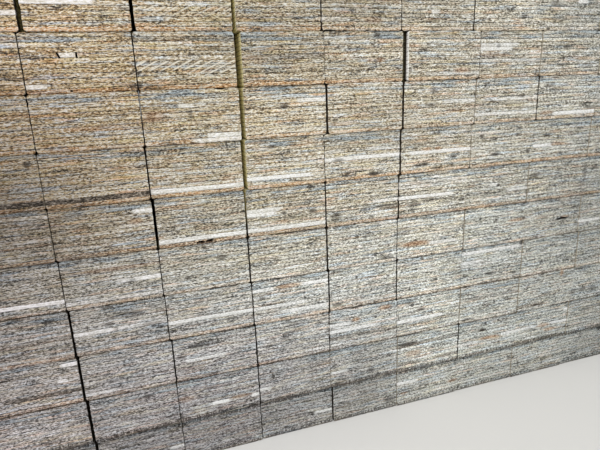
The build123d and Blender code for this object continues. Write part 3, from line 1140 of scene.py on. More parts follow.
# %% End grain: colour
TONE_STOPS = (0.04, 0.20, 0.36, 0.52, 0.68, 0.80, 0.94)
WOOD = ("#594B38", "#977D58", "#C3A87C", "#D7C095", "#E7D6B1", "#F2E8CF", "#FEFCF3")
SILVERED = ("#4E504D", "#8A8F8A", "#B5BAB5", "#C9CEC9", "#D9DED9", "#E6EAE6", "#FDFEFD")
LILAC_GREY = ("#4E4B4C", "#8A8585", "#B2ADAD", "#C5C1C1", "#D6D3D3", "#E8E6E6", "#FDFCFC")
wood, silvered, lilac_grey = (add(m, "ValToRGB", {0: tone}, ramp=list(zip(TONE_STOPS, colours)))
                              for colours in (WOOD, SILVERED, LILAC_GREY))
base = add(m, "Mix", {"Factor": carried["silver"], "A": wood, "B": silvered}, data_type="RGBA")
base = add(m, "Mix", {"Factor": carried["lilac"], "A": base, "B": lilac_grey}, data_type="RGBA")
print("ramps:", 3)


# %% [markdown]
# ### White sapwood stretches
# Here and there a veneer was peeled from white sapwood. It shows as a smooth pale stretch, one
# veneer high and a few centimetres long, with soft ends. The noise that places them changes only
# along the veneer and from one veneer to the next, so a stretch fills its veneer from top to bottom.

# %% End grain: white stretches
WHITE_LENGTH = 26.0
white_place = add(m, "Math", {0: x_mm, 1: 1 / WHITE_LENGTH}, operation="MULTIPLY")
white_place = add(m, "CombineXYZ", {0: white_place, 1: apart, 2: 3.0})
white = add(m, "TexNoise", {"Vector": white_place, "Scale": 1.0, "Detail": 1.0})
white = add(m, "Math", {0: short_streaks, 1: 0.35, 2: white}, operation="MULTIPLY_ADD")
white = add(m, "MapRange", {"Value": white, "From Min": 0.79, "From Max": 0.90, "To Max": 0.85},
            interpolation_type="SMOOTHSTEP")
white_tones = add(m, "ValToRGB", {0: tone}, ramp=[
    (0.15, "#B9B4A4"), (0.38, "#DAD6C8"), (0.60, "#EFEDE3"), (0.85, "#FFFFFF")])
base = add(m, "Mix", {"Factor": white, "A": base, "B": white_tones}, data_type="RGBA")
print("white stretches are about", WHITE_LENGTH, "mm long")


# %% [markdown]
# ### Warm, cool and olive stretches
# Resin and heartwood keep some stretches of veneer orange-tan, sapwood fungus turns others
# blue-grey, and some are yellow-olive. One noise has three independent colour channels, so it
# places all three.

# %% End grain: stretches of other colours
STRETCH = (24.0, 2.4, 1.4)
stretches = stretched_noise(m, place, STRETCH, 2.0, 0.5)
stretch = add(m, "SeparateColor", {0: stretches.outputs["Color"]})
fresh = add(m, "Math", {0: carried["silver"], 1: -0.5, 2: 1.0}, operation="MULTIPLY_ADD")
for channel, colour, low, high, most in ((0, "#B9834F", 0.54, 0.70, 0.55), (1, "#A2AEB6", 0.53, 0.68, 0.70),
                                         (2, "#B5A56C", 0.54, 0.70, 0.50)):
    amount = add(m, "MapRange", {"Value": stretch.outputs[channel], "From Min": low, "From Max": high,
                                 "To Max": most})
    if channel != 1:
        amount = add(m, "Math", {0: amount, 1: fresh}, operation="MULTIPLY")
    tinted = add(m, "Mix", {"Factor": 1.0, "A": base, "B": linear(colour)},
                 data_type="RGBA", blend_type="COLOR")
    base = add(m, "Mix", {"Factor": amount, "A": base, "B": tinted}, data_type="RGBA")
print("kinds of stretches:", 3)


# %% [markdown]
# ### Orange lowest veneers
# The lowest veneer of each beam is orange-brown, most of all high up and at the left, and ends in a
# ragged line. The veneer above reaches down into it here and there.

# %% End grain: orange lowest veneers
ORANGE_HEIGHT = 1.0
ragged = add(m, "Math", {0: short_streaks, 1: -0.9, 2: in_beam}, operation="MULTIPLY_ADD")
lowest = add(m, "MapRange", {"Value": ragged, "From Min": ORANGE_HEIGHT - 0.62,
                             "From Max": ORANGE_HEIGHT - 0.42,
                             "To Min": 1.0, "To Max": 0.0})
orange_part = add(m, "MapRange", {"Value": long_streaks, "From Min": 0.35, "From Max": 0.6,
                                  "To Min": 0.35})
orange_here = product(m, lowest, carried["orange"], orange_part)
orange_tones = add(m, "ValToRGB", {0: tone}, ramp=[
    (0.10, "#70492A"), (0.32, "#BC864F"), (0.52, "#D8A46C"), (0.72, "#E8C294"), (0.92, "#F6E8D0")])
base = add(m, "Mix", {"Factor": orange_here, "A": base, "B": orange_tones}, data_type="RGBA")
print("orange reaches", ORANGE_HEIGHT, "veneers up")


# %% [markdown]
# ### Blue-grey top veneers
# Rain that ran in between the layers stained the veneers under many of the seams blue-grey. The
# stain keeps to the top two veneers of a beam and comes and goes along it.

# %% End grain: blue-grey top veneers
stained = add(m, "MapRange", {"Value": in_beam, "From Min": VENEERS - 2.1, "From Max": VENEERS - 1.8})
stained_part = add(m, "MapRange", {"Value": stretch.outputs[1], "From Min": 0.42, "From Max": 0.60,
                                   "To Max": 0.75})
stained = add(m, "Math", {0: stained, 1: stained_part}, operation="MULTIPLY")
blue = add(m, "Mix", {"Factor": 1.0, "A": base, "B": linear("#B0BABF")},
           data_type="RGBA", blend_type="COLOR")
blue = add(m, "Mix", {"Factor": 1.0, "A": blue, "B": linear("#D9DDDE")},
           data_type="RGBA", blend_type="MULTIPLY")
base = add(m, "Mix", {"Factor": stained, "A": base, "B": blue}, data_type="RGBA")
print("blue-grey veneers:", 2)


# %% [markdown]
# ### Growth rings and glue lines
# A veneer is peeled round the log, so the rings lie nearly flat in it: one or two thin brown lines
# to a veneer, at a slight slope. They and the glue lines break up into dots and dashes where the
# saw smeared fibres over them.

# %% End grain: rings and glue lines
RING_SPACING = 1.55
DASH = (1.15, 1.6, 2.0)
BEND = (34.0, 9.0, 1.0)
GLUE_WIDTH = 0.42
dashes = stretched_noise(m, place, DASH, 0.0, 0.5)
dashes = add(m, "MapRange", {"Value": dashes, "From Min": 0.48, "From Max": 0.54})
slope = add(m, "Math", {0: own.outputs[1], 1: 0.10, 2: -0.05}, operation="MULTIPLY_ADD")
tilted = add(m, "Math", {0: x_mm, 1: slope, 2: height_mm}, operation="MULTIPLY_ADD")
bend = stretched_noise(m, place, BEND, 1.0, 0.5)
ring_height = add(m, "Math", {0: bend, 1: 3.0, 2: tilted}, operation="MULTIPLY_ADD")
ring = add(m, "Math", {0: ring_height, 1: 1 / RING_SPACING}, operation="MULTIPLY")
ring = from_middle(m, ring)
late = add(m, "MapRange", {"Value": ring, "From Min": 0.30, "From Max": 0.46},
           interpolation_type="SMOOTHSTEP")
late_seen = product(m, dashes, 0.50, late)
base = add(m, "Mix", {"Factor": late_seen, "A": base, "B": linear("#6E655B")}, data_type="RGBA",
           blend_type="MULTIPLY")

off_middle = from_middle(m, ply)
glue = add(m, "MapRange", {"Value": off_middle, "From Min": 0.5 - GLUE_WIDTH / VENEER, "From Max": 0.47},
           interpolation_type="SMOOTHSTEP")
glue_seen = add(m, "Math", {0: dashes, 1: 0.88, 2: 0.10}, operation="MULTIPLY_ADD")
off_centre = distance(m, in_beam, VENEERS / 2)
between = add(m, "Math", {0: off_centre, 1: VENEERS / 2 - 0.5}, operation="LESS_THAN")
glue_seen = product(m, glue, glue_seen, between)
base = add(m, "Mix", {"Factor": glue_seen, "A": base, "B": linear("#37312D")}, data_type="RGBA",
           blend_type="MULTIPLY")
print("rings every", RING_SPACING, "mm")


# %% [markdown]
# ### Dirt and painted shadow along the seams
# Damp and dirt sat between the layers. Low in the stack the seams are lined with short dark ticks,
# partly dirt that crept a millimetre or so into the fibre ends above and below, and partly painted
# shadow under the edge of the layer above. High up there is much less. At the lowest seam the ticks
# reach far up and make a dark hatched band, again partly dirt and partly painted shadow.

# %% End grain: dirt and painted shadow along the seams
TICK = (0.9, 9.0, 400.0)
DIRT_AND_SHADOW_PATCH = (32.0, 20.0, 40.0)
LOWEST_SEAM_REACH = 2.7
from_seam = add(m, "Math", {0: VENEERS / 2, 1: off_centre}, operation="SUBTRACT")
ticks = stretched_noise(m, place, TICK, 1.0, 0.5)
dirt_and_shadow = stretched_noise(m, place, DIRT_AND_SHADOW_PATCH, 1.0, 0.5)
dirt_and_shadow_reach = add(m, "Math", {0: ticks, 1: 1.2, 2: -0.30}, operation="MULTIPLY_ADD")
lowest_seam_reach = add(m, "MapRange", {"Value": height_mm, "From Min": 42.0, "From Max": 66.0,
                             "To Min": LOWEST_SEAM_REACH})
dirt_and_shadow_reach = add(m, "Math", {0: dirt_and_shadow_reach, 1: lowest_seam_reach}, operation="MULTIPLY")
dirt_and_shadow_here = add(m, "Math", {0: dirt_and_shadow_reach, 1: from_seam}, operation="SUBTRACT")
dirt_and_shadow_here = add(m, "MapRange", {"Value": dirt_and_shadow_here, "From Max": 0.14})
dirt_and_shadow_share = add(m, "MapRange", {"Value": dirt_and_shadow, "From Min": 0.38, "From Max": 0.58,
                                 "To Min": 0.25, "To Max": 0.95})
dirt_and_shadow_share = add(m, "MapRange", {"Value": lowest_seam_reach, "From Min": 1.0, "From Max": LOWEST_SEAM_REACH,
                                 "To Min": dirt_and_shadow_share, "To Max": 0.72})
low_down = add(m, "MapRange", {"Value": height_mm, "From Min": 90.0, "From Max": 260.0,
                               "To Min": 1.0, "To Max": 0.35})
dirt_and_shadow_here = product(m, dirt_and_shadow_here, dirt_and_shadow_share, low_down)
# Partly dirt, partly painted shadow: the wood is darkened along the seams
base = add(m, "Mix", {"Factor": dirt_and_shadow_here, "A": base, "B": linear("#5C534B")}, data_type="RGBA",
           blend_type="MULTIPLY")
print("dirt reaches", LOWEST_SEAM_REACH, "times as far at the lowest seam")


# %% [markdown]
# ### Stain, mould and saw scratches
# Damp left long blue-grey stains along the veneers and clusters of small black mould spots. The
# saw left pale scratches that rise a little to the right, and in a few places a row of short steep
# ones, which only show where the stored number allows them.

# %% End grain: stain and mould
STAIN = (24.0, 2.8, 2.9)
MOULD_CLUSTER, MOULD_SPOT = (19.0, 7.0, 1.0), (2.8, 1.7, 1.0)
stain = stretched_noise(m, place, STAIN, 4.0, 0.65)
stain = add(m, "MapRange", {"Value": stain, "From Min": 0.56, "From Max": 0.72, "To Max": 0.8},
            interpolation_type="SMOOTHSTEP")
base = add(m, "Mix", {"Factor": stain, "A": base, "B": linear("#969A98")}, data_type="RGBA",
           blend_type="MULTIPLY")

flat_place = add(m, "CombineXYZ", {0: x_mm, 1: height_mm, 2: 0.0})
cluster = stretched_noise(m, flat_place, MOULD_CLUSTER, 1.0, 0.5)
mould = stretched_noise(m, flat_place, MOULD_SPOT, 3.0, 0.7)
mould = add(m, "Math", {0: cluster, 1: 0.9, 2: mould}, operation="MULTIPLY_ADD")
mould = add(m, "MapRange", {"Value": mould, "From Min": 1.11, "From Max": 1.19, "To Max": 0.85})
base = add(m, "Mix", {"Factor": mould, "A": base, "B": linear("#35312C")}, data_type="RGBA")
print("mould spots are about", MOULD_SPOT[0], "mm wide")


# %% End grain: scratches
SCRATCH = (30.0, 0.75, 1.0)
SHALLOW_SLOPE, STEEP_SLOPE = math.radians(-7), math.radians(-26)
STEEP_SPACING = 3.2
turned = add(m, "VectorRotate", {"Vector": flat_place, "Angle": SHALLOW_SLOPE}, rotation_type="Z_AXIS")
shallow = stretched_noise(m, turned, SCRATCH, 1.0, 0.5)
shallow = add(m, "MapRange", {"Value": shallow, "From Min": 0.63, "From Max": 0.70, "To Max": 0.75})
base = add(m, "Mix", {"Factor": shallow, "A": base, "B": linear("#E9E2CF")}, data_type="RGBA")

steep = add(m, "VectorRotate", {"Vector": flat_place, "Angle": STEEP_SLOPE}, rotation_type="Z_AXIS")
steep = add(m, "SeparateXYZ", {0: steep})
steep = add(m, "Math", {0: steep.outputs["Y"], 1: 1 / STEEP_SPACING}, operation="MULTIPLY")
steep = from_middle(m, steep)
steep = add(m, "MapRange", {"Value": steep, "From Min": 0.33, "From Max": 0.39, "To Max": 0.95})
steep = add(m, "Math", {0: steep, 1: carried["scratched"]}, operation="MULTIPLY")
base = add(m, "Mix", {"Factor": steep, "A": base, "B": linear("#F3EDDC")}, data_type="RGBA")
print("steep scratches every", STEEP_SPACING, "mm")


# %% [markdown]
# ### What was placed one by one
# The listed strips and spots come on top. Each keeps some of the grit, so that it still looks like
# wood that was sawn, and gets a ragged edge from the short streaks. The shade comes last: it is the
# stored brightness, partly painted light that falls off towards the edges of the front, and pale
# strips take less of it. The beams furthest left are a little redder.

# %% End grain: strips, spots, torn places and shade
pale_tones = add(m, "ValToRGB", {0: tone}, ramp=[
    (0.0, "#CFC9B8"), (0.35, "#E6E2D4"), (0.65, "#F5F3EA"), (0.9, "#FFFFFF")])
pale_edge = add(m, "MapRange", {"Value": grit, "From Min": 0.30, "From Max": 0.50, "To Min": 0.8})
ragged_pale = add(m, "Math", {0: carried["pale"], 1: 0.9, 2: short_streaks}, operation="MULTIPLY_ADD")
ragged_pale = add(m, "MapRange", {"Value": ragged_pale, "From Min": 0.75, "To Max": 1.2})
pale_here = add(m, "Math", {0: carried["pale"], 1: ragged_pale}, operation="MULTIPLY")
pale_here = add(m, "Math", {0: pale_here, 1: pale_edge}, operation="MULTIPLY", use_clamp=True)
cool_pale = add(m, "ValToRGB", {0: tone}, ramp=[
    (0.0, "#C6C7C4"), (0.35, "#E3E4E1"), (0.65, "#F4F4F3"), (0.9, "#FFFFFF")])
pale_colour = add(m, "Mix", {"Factor": carried["silver"], "A": pale_tones, "B": cool_pale},
                  data_type="RGBA")
ragged_dark = add(m, "Math", {0: carried["dark"], 1: 1.2, 2: short_streaks}, operation="MULTIPLY_ADD")
ragged_dark = add(m, "MapRange", {"Value": ragged_dark, "From Min": 0.80, "From Max": 1.1,
                                  "To Min": 0.2, "To Max": 1.3})
dark_here = add(m, "Math", {0: carried["dark"], 1: ragged_dark}, operation="MULTIPLY", use_clamp=True)
dark_tones = add(m, "ValToRGB", {0: tone}, ramp=[
    (0.12, "#2C2722"), (0.45, "#5F564A"), (0.75, "#94897A"), (0.95, "#C9BFAF")])
amber_tones = add(m, "ValToRGB", {0: tone}, ramp=[
    (0.10, "#664531"), (0.40, "#A07E60"), (0.62, "#BD9C7B"), (0.9, "#DCC5A8")])
amber_here = add(m, "Math", {0: carried["amber"], 1: 0.85}, operation="MULTIPLY")
spot_edge = add(m, "MapRange", {"Value": short_streaks, "From Min": 0.35, "From Max": 0.60,
                                "To Min": 0.75, "To Max": 1.15})
spot_here = add(m, "Math", {0: carried["spot"], 1: spot_edge}, operation="MULTIPLY")
# The torn number paints pockets and open joints near black by their depth: painted shade in these hollows
for mask, colour in ((pale_here, pale_colour), (dark_here, dark_tones), (amber_here, amber_tones),
                     (spot_here, linear("#332C26")), (carried["torn"], linear("#2E2620"))):
    base = add(m, "Mix", {"Factor": mask, "A": base, "B": colour}, data_type="RGBA")
own_light = add(m, "Math", {0: pale_here, 1: 0.6}, operation="MULTIPLY")
# The stored shade is partly painted light: brightest a little right of the middle of the front
shade = add(m, "MapRange", {"Value": own_light, "To Min": carried["shade"]})
redder = add(m, "MapRange", {"Value": x_mm, "From Min": -290.0, "From Max": -120.0, "To Min": 0.945})
green_shade = add(m, "Math", {0: shade, 1: redder}, operation="MULTIPLY")
shade_colour = add(m, "CombineXYZ", {0: shade, 1: green_shade, 2: shade})
base = add(m, "Mix", {"Factor": 1.0, "A": base, "B": shade_colour}, data_type="RGBA", blend_type="MULTIPLY")
print("layers of colour are done")


# %% [markdown]
# ### Roughness and bump
# Sawn wood has no gloss. What little it reflects comes from flattened fibres, so roughness follows
# the grit. The bump is in real millimetres: pits between fibres, sunk glue lines, raised late wood.

# %% End grain: shader
GRIT_HEIGHT, GLUE_HEIGHT, LATE_HEIGHT = 0.55, -0.14, 0.05
surface = added_up(m, 0.0, (grit, GRIT_HEIGHT), (glue, GLUE_HEIGHT), (late, LATE_HEIGHT))
connect(m, base, surface, grit, rough=0.95, flat=0.78)
print("sawn end grain:", len(m.node_tree.nodes), "nodes")


# %% [markdown]
# ## Ripped edges
# The outer sides of the stack are the edges the rip saw left. The twelve veneers run the whole
# length here, each a band of long grain, with a thin dark glue line between each two. Every veneer
# is pieced together from sheets that meet in a slanting scarf joint, where the tone changes. Ply
# numbers are the same as on the ends, so a band turns the corner without a break.

# %% Ripped edge: numbers and coordinates
SHEET, SCARF = 1270.0, 26.0
m = ripped_edge = new_material("ripped_ply_edge")
ply = add(m, "Attribute", attribute_name="ply").outputs["Fac"]
own_shade = add(m, "Attribute", attribute_name="shade").outputs["Fac"]
split = add(m, "SeparateXYZ", {0: add(m, "TexCoord").outputs["Object"]})
side = add(m, "Math", {0: split.outputs["X"]}, operation="SIGN")
y_mm = add(m, "Math", {0: split.outputs["Y"], 1: 1 / MM}, operation="MULTIPLY")
height_mm = add(m, "Math", {0: ply, 1: VENEER}, operation="MULTIPLY")
veneer = add(m, "Math", {0: ply}, operation="FLOOR")
inside = add(m, "Math", {0: ply}, operation="FRACT")
layer_of = add(m, "Math", {0: side, 1: 41.0, 2: veneer}, operation="MULTIPLY_ADD")
slanted = add(m, "Math", {0: inside, 1: SCARF, 2: y_mm}, operation="MULTIPLY_ADD")
slanted = add(m, "Math", {0: layer_of, 1: 613.0, 2: slanted}, operation="MULTIPLY_ADD")
sheet_place = add(m, "Math", {0: slanted, 1: 1 / SHEET}, operation="MULTIPLY")
sheet = add(m, "Math", {0: sheet_place}, operation="FLOOR")
sheet_key = add(m, "CombineXYZ", {0: layer_of, 1: sheet, 2: 0.5})
own = add(m, "TexWhiteNoise", {"Vector": sheet_key}, noise_dimensions="3D")
own = add(m, "SeparateColor", {0: own.outputs["Color"]})
apart = add(m, "Math", {0: own.outputs[2], 1: 40.0, 2: layer_of}, operation="MULTIPLY_ADD")
edge_place = add(m, "CombineXYZ", {0: y_mm, 1: height_mm, 2: apart})
print("sheets of veneer are", SHEET, "mm long")


# %% [markdown]
# ### Long grain
# Seen along the grain, a veneer is made of long fine streaks. Growth rings cut almost flat give one
# or two darker lines to a veneer, which wander slowly over a metre.

# %% Ripped edge: long grain
LONG_LINE, SHORT_LINE, EDGE_GRIT = (260.0, 0.9, 1.0), (34.0, 0.6, 1.0), (3.0, 0.8, 1.0)
EDGE_BEND = (420.0, 8.0, 1.0)
EDGE_RINGS = 1.3
long_streaks = stretched_noise(m, edge_place, LONG_LINE, 3.0)
short_streaks = stretched_noise(m, edge_place, SHORT_LINE, 3.0)
grit = stretched_noise(m, edge_place, EDGE_GRIT, 2.0)
tone = added_up(m, -0.88, (long_streaks, 0.9), (short_streaks, 0.9), (grit, 0.55), (own.outputs[0], 0.38))
bend = stretched_noise(m, edge_place, EDGE_BEND, 1.0)
ring = add(m, "Math", {0: bend, 1: 6.0, 2: height_mm}, operation="MULTIPLY_ADD")
ring = add(m, "Math", {0: ring, 1: 1 / EDGE_RINGS}, operation="MULTIPLY")
ring = add(m, "Math", {0: ring}, operation="FRACT")
late = add(m, "MapRange", {"Value": ring, "From Min": 0.55, "From Max": 0.95, "To Max": 0.55},
           interpolation_type="SMOOTHSTEP")
print("rings every", EDGE_RINGS, "mm")


# %% [markdown]
# ### Weathered colour
# One side of a stack never weathers evenly. Patches half a metre long stay honey coloured while the
# rest turns silver grey, and rain leaves darker runs down the side that cross the layers.

# %% Ripped edge: colour
PATCH, RUN = (520.0, 130.0, 1.0), (26.0, 190.0, 1.0)
wide_place = add(m, "CombineXYZ", {0: y_mm, 1: height_mm, 2: side})
patches = stretched_noise(m, wide_place, PATCH, 3.0)
own_silver = add(m, "Attribute", attribute_name="silver").outputs["Fac"]
grey = add(m, "Math", {0: own.outputs[1], 1: 0.30, 2: patches}, operation="MULTIPLY_ADD")
grey = add(m, "Math", {0: own_silver, 1: 0.30, 2: grey}, operation="MULTIPLY_ADD")
grey = add(m, "MapRange", {"Value": grey, "From Min": 0.62, "From Max": 0.94,
                           "To Min": 0.12, "To Max": 0.92})
honey = add(m, "ValToRGB", {0: tone}, ramp=[
    (0.10, "#806647"), (0.34, "#AE9268"), (0.55, "#C6AD83"), (0.75, "#D7C4A0"), (0.92, "#E9DDC2")])
silvered = add(m, "ValToRGB", {0: tone}, ramp=[
    (0.10, "#6C6962"), (0.34, "#96938A"), (0.55, "#B0AEA5"), (0.75, "#C5C4BC"), (0.92, "#DEDDD7")])
base = add(m, "Mix", {"Factor": grey, "A": honey, "B": silvered}, data_type="RGBA")
base = add(m, "Mix", {"Factor": late, "A": base, "B": linear("#9A8266")}, data_type="RGBA",
           blend_type="MULTIPLY")
runs = stretched_noise(m, wide_place, RUN, 3.0)
runs = add(m, "MapRange", {"Value": runs, "From Min": 0.56, "From Max": 0.72, "To Max": 0.45})
base = add(m, "Mix", {"Factor": runs, "A": base, "B": linear("#7E776C")}, data_type="RGBA",
           blend_type="MULTIPLY")
print("patches are about", PATCH[0], "mm long")


# %% [markdown]
# ### Glue lines, joints, seams and saw marks
# Glue squeezed flat between veneers is a dark brown line a quarter of a millimetre thick. It is
# drawn twice as thick, so that it still shows from a few metres. Next to the seams between layers
# the edge is painted darker: painted shade in the seams, with some dirt. The rip saw's teeth left
# shallow ripples across the grain, which are only in the bump.

# %% Ripped edge: glue, joints and shader
EDGE_GLUE = 0.45
JOINT = 2.0
RIPPLE = (2.4, 60.0, 1.0)
off_middle = from_middle(m, ply)
glue = add(m, "MapRange", {"Value": off_middle, "From Min": 0.5 - EDGE_GLUE / VENEER, "From Max": 0.48},
           interpolation_type="SMOOTHSTEP")
worn = add(m, "MapRange", {"Value": short_streaks, "From Min": 0.35, "From Max": 0.6,
                           "To Min": 0.45, "To Max": 0.85})
glue_seen = add(m, "Math", {0: glue, 1: worn}, operation="MULTIPLY")
joint = add(m, "Math", {0: sheet_place}, operation="FRACT")
joint = add(m, "Math", {0: joint, 1: JOINT / SHEET}, operation="LESS_THAN")
joint = add(m, "Math", {0: joint, 1: 0.75}, operation="MULTIPLY")
in_beam = add(m, "Math", {0: ply, 1: float(VENEERS)}, operation="MODULO")
from_seam = distance(m, in_beam, VENEERS / 2)
# Painted shade with some dirt: the edge is darker next to the seams between layers
seam_dirt_and_shadow = add(m, "Math", {0: short_streaks, 1: 0.5, 2: from_seam}, operation="MULTIPLY_ADD")
seam_dirt_and_shadow = add(m, "MapRange", {"Value": seam_dirt_and_shadow, "From Min": 5.75, "From Max": 6.1, "To Max": 0.8})
for mask, colour in ((glue_seen, "#4B3A2C"), (joint, "#4B3A2C"), (seam_dirt_and_shadow, "#40362C")):
    base = add(m, "Mix", {"Factor": mask, "A": base, "B": linear(colour)}, data_type="RGBA")
base = shaded(m, base, own_shade)
ripples = stretched_noise(m, wide_place, RIPPLE, 1.0)
surface = added_up(m, 0.0, (ripples, 0.25), (short_streaks, 0.30), (glue, -0.10))
connect(m, base, surface, short_streaks, rough=0.92, flat=0.72)
print("ripped edge:", len(m.node_tree.nodes), "nodes")


# %% [markdown]
# ## Peeled faces
# A veneer is peeled off a turning log like paper off a roll, so its face shows wild, wide grain:
# each growth ring is cut along a wandering contour. Contour lines of a slow noise look just like
# it. The slab was glued up wide and ripped afterwards, so the figure runs on from beam to beam.

# %% Peeled face: wandering grain
KNOT_SPACING = (170.0, 400.0, 900.0)
FIGURE, CONTOURS = (95.0, 1300.0, 900.0), 26.0
m = peeled_face = new_material("peeled_face_veneer")
split = add(m, "SeparateXYZ", {0: add(m, "TexCoord").outputs["Object"]})
x_mm, y_mm, z_mm = (add(m, "Math", {0: axis, 1: 1 / MM}, operation="MULTIPLY") for axis in split.outputs)
face_place = add(m, "CombineXYZ", {0: x_mm, 1: y_mm, 2: z_mm})
knot_place = add(m, "VectorMath", {0: face_place, 1: KNOT_SPACING}, operation="DIVIDE")
cells = add(m, "TexVoronoi", {"Vector": knot_place, "Scale": 1.0}, voronoi_dimensions="2D")
knot_size = add(m, "SeparateColor", {0: cells.outputs["Color"]})
knots = add(m, "Math", {0: knot_size.outputs[0], 1: 0.11, 2: cells.outputs["Distance"]},
            operation="MULTIPLY_ADD")
swell = add(m, "MapRange", {"Value": knots, "From Max": 0.30, "To Min": 0.16, "To Max": 0.0},
            interpolation_type="SMOOTHSTEP")
contour = stretched_noise(m, face_place, FIGURE, 2.0)
contour = add(m, "Math", {0: contour, 1: swell}, operation="ADD")
contour = add(m, "Math", {0: contour, 1: CONTOURS}, operation="MULTIPLY")
ring = add(m, "Math", {0: contour}, operation="FRACT")
late = add(m, "MapRange", {"Value": ring, "From Min": 0.45, "From Max": 0.92},
           interpolation_type="SMOOTHSTEP")
ring_tone = add(m, "Math", {0: contour}, operation="FLOOR")
ring_tone = add(m, "TexWhiteNoise", {"W": ring_tone}, noise_dimensions="1D").outputs["Value"]
print("growth rings over one swell of the noise:", CONTOURS)


# %% [markdown]
# ### Fibres, checks and knots
# Fibres add fine streaks, and the peeling knife opened short hairline checks along them. Knots are
# dark discs that the grain flows round. Rain and sun turned the face silver in long patches.

# %% Peeled face: colour and shader
FIBRE, FADED, CHECK = (1.3, 70.0, 900.0), (190.0, 620.0, 900.0), (1.0, 44.0, 900.0)
FACE_SHEET, FACE_JOINT = 1900.0, 1.6
fibres = stretched_noise(m, face_place, FIBRE, 3.0)
tone = added_up(m, -0.32, (fibres, 1.1), (ring_tone, 0.22), (late, -0.17))
slow = stretched_noise(m, face_place, FADED, 3.0)
grey = add(m, "MapRange", {"Value": slow, "From Min": 0.36, "From Max": 0.60,
                           "To Min": 0.30, "To Max": 0.95})
honey = add(m, "ValToRGB", {0: tone}, ramp=[
    (0.05, "#7E6242"), (0.25, "#A88A5F"), (0.45, "#C3A67B"), (0.65, "#D5BF98"), (0.85, "#E8DABC")])
silvered = add(m, "ValToRGB", {0: tone}, ramp=[
    (0.05, "#67625A"), (0.25, "#8F8B81"), (0.45, "#ABA89E"), (0.65, "#C1BFB6"), (0.85, "#DBDAD3")])
base = add(m, "Mix", {"Factor": grey, "A": honey, "B": silvered}, data_type="RGBA")
sheet_place = add(m, "Math", {0: x_mm, 1: 0.015, 2: y_mm}, operation="MULTIPLY_ADD")
sheet_place = add(m, "Math", {0: sheet_place, 1: 1 / FACE_SHEET, 2: 0.72}, operation="MULTIPLY_ADD")
sheet = add(m, "Math", {0: sheet_place}, operation="FLOOR")
sheet = add(m, "TexWhiteNoise", {"W": sheet}, noise_dimensions="1D").outputs["Value"]
sheet = add(m, "MapRange", {"Value": sheet, "To Min": 0.86})
joint = add(m, "Math", {0: sheet_place}, operation="FRACT")
joint = add(m, "Math", {0: joint, 1: FACE_JOINT / FACE_SHEET}, operation="LESS_THAN")
checks = stretched_noise(m, face_place, CHECK, 1.0)
checks = add(m, "MapRange", {"Value": checks, "From Min": 0.70, "From Max": 0.76, "To Max": 0.8})
dark_lines = add(m, "Math", {0: joint, 1: checks}, operation="MAXIMUM")
base = add(m, "Mix", {"Factor": dark_lines, "A": base, "B": linear("#4A3C2E")}, data_type="RGBA")
knot_edge = add(m, "Math", {0: fibres, 1: 0.03, 2: knots}, operation="MULTIPLY_ADD")
knot = add(m, "MapRange", {"Value": knot_edge, "From Min": 0.070, "From Max": 0.092,
                           "To Min": 0.85, "To Max": 0.0})
base = add(m, "Mix", {"Factor": knot, "A": base, "B": linear("#5B3E26")}, data_type="RGBA")
base = shaded(m, base, sheet)
surface = added_up(m, 0.0, (fibres, 0.25), (dark_lines, -0.20), (late, 0.08))
connect(m, base, surface, fibres, rough=0.90, flat=0.70)
print("peeled face:", len(m.node_tree.nodes), "nodes")


# %% [markdown]
# ## Faces inside the stack
# Where a gap is open one looks in along a ripped edge the weather never reached. Its first
# centimetre is painted dark, partly dirt and mould and partly painted shade in the mouth of the gap.
# Behind that lies the yellow of fresh wood, painted paler than the wood itself as painted light, so
# that it glows olive in the shade. In one wide gap high up, the clean, painted-lit wood reaches almost
# to its mouth. The lowest layers' inner faces are darker. Where two beams are pushed up tight, the
# first millimetres are painted pale like the end, as painted light, so the gap shows little shade,
# and pale strips of the end run a little way in. How deep a point lies behind the end is one of the
# stored numbers.

# %% Inner face
INNER_GRAIN = (40.0, 0.22, 1.0)
CLEAN_AND_LIT_GAP = -95.0
CLEAN_AND_LIT_NEARER_BY = 7.5
m = inner_face = new_material("shaded_inner_face")
ply = add(m, "Attribute", attribute_name="ply").outputs["Fac"]
deep = add(m, "Attribute", attribute_name="deep").outputs["Fac"]
inner_place = add(m, "CombineXYZ", {0: deep, 1: ply, 2: 7.0})
grain = stretched_noise(m, inner_place, INNER_GRAIN, 3.0)
from_gap = add(m, "SeparateXYZ", {0: add(m, "TexCoord").outputs["Object"]})
from_gap = distance(m, from_gap.outputs["X"], CLEAN_AND_LIT_GAP * MM)
open_gap = add(m, "MapRange", {"Value": from_gap, "From Min": 0.005, "From Max": 0.007,
                               "To Min": CLEAN_AND_LIT_NEARER_BY, "To Max": 0.0})
high_up = add(m, "MapRange", {"Value": ply, "From Min": 5.0 * VENEERS, "From Max": 5.5 * VENEERS})
open_gap = add(m, "Math", {0: open_gap, 1: high_up}, operation="MULTIPLY")
reach = add(m, "Math", {0: grain, 1: 8.0, 2: deep}, operation="MULTIPLY_ADD")
reach = add(m, "Math", {0: reach, 1: open_gap}, operation="ADD")
# Painted shade and dirt at the mouth, then fresh wood painted pale as painted light further in
clean_and_lit = add(m, "MapRange", {"Value": reach, "From Min": 9.0, "From Max": 14.0})
fresh_wood_painted_lit = add(m, "ValToRGB", {0: grain}, ramp=[(0.30, "#DDD196"), (0.50, "#EEE4B1"), (0.70, "#F8F0CA")])
base = add(m, "Mix", {"Factor": clean_and_lit, "A": linear("#40372B"), "B": fresh_wood_painted_lit}, data_type="RGBA")
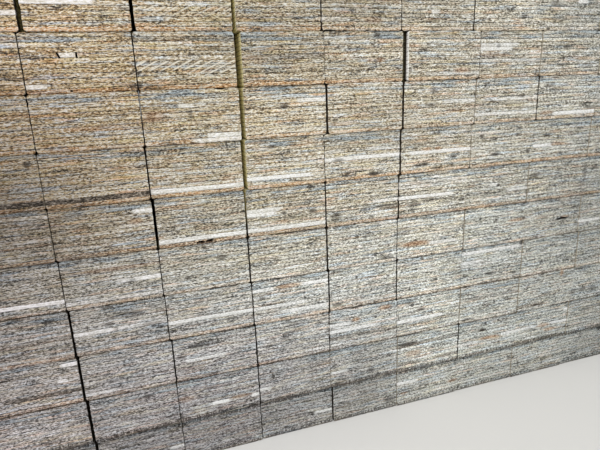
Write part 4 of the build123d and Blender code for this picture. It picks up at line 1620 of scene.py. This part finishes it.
# Darker in the lowest layers
darker_low_down = add(m, "MapRange", {"Value": ply, "From Min": 3.0 * VENEERS, "From Max": 6.0 * VENEERS,
                           "To Min": 0.85, "To Max": 0.0})
base = add(m, "Mix", {"Factor": darker_low_down, "A": base, "B": linear("#38322C")}, data_type="RGBA")
# Painted light: the first millimetres of a tight gap are painted pale like the end, so it shows little shade
tight = add(m, "Attribute", attribute_name="tight").outputs["Fac"]
near = add(m, "MapRange", {"Value": deep, "From Min": 1.0, "From Max": 3.0, "To Min": 0.8, "To Max": 0.0})
painted_light_in_tight_gaps = add(m, "Math", {0: tight, 1: near}, operation="MULTIPLY")
base = add(m, "Mix", {"Factor": painted_light_in_tight_gaps, "A": base, "B": linear("#C4BBA8")}, data_type="RGBA")
# Pale strips of the end run a little way into the gap; for the strip through all veneers of the ninth layer
# this is a painted highlight
pale_wood_and_highlight = add(m, "Attribute", attribute_name="pale").outputs["Fac"]
pale_wood_and_highlight = add(m, "Math", {0: pale_wood_and_highlight, 1: 3.0}, operation="MULTIPLY", use_clamp=True)
base = add(m, "Mix", {"Factor": pale_wood_and_highlight, "A": base, "B": linear("#F2EEE8")}, data_type="RGBA")
off_middle = from_middle(m, ply)
glue = add(m, "MapRange", {"Value": off_middle, "From Min": 0.36, "From Max": 0.46, "To Max": 0.6})
base = add(m, "Mix", {"Factor": glue, "A": base, "B": linear("#4A3F2A")}, data_type="RGBA")
connect(m, base, added_up(m, 0.0, (grain, 0.25)), grain, rough=0.9, flat=0.75)
print("inner face:", len(m.node_tree.nodes), "nodes")


# %% [markdown]
# ## Build the stack
# Each beam is built and put in the scene. It rides on the stack's one body and stands in for its
# layer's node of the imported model. Only the outermost beams show long sides.

# %% Build the stack
last_layer = max(beam.layer for beam in beams)
last_beam = max(beam.beam for beam in beams)
triangles = 0
for beam in beams:
    shown = []
    if beam.layer == last_layer:
        shown.append(TOP)
    if beam.beam == 1:
        shown.append(LEFT)
    if beam.beam == last_beam:
        shown.append(RIGHT)
    mesh = build_beam(beam, shown)
    for material in (end_grain, ripped_edge, peeled_face, inner_face):
        mesh.materials.append(material)
    piece = bpy.data.objects.new(mesh.name, mesh)
    bpy.context.scene.collection.objects.link(piece)
    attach(piece, "root")
    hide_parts(f"beam_layer_{beam.layer:02d}")
    triangles += sum(len(face.vertices) - 2 for face in mesh.polygons)
print("pieces:", len(beams), "triangles:", triangles)
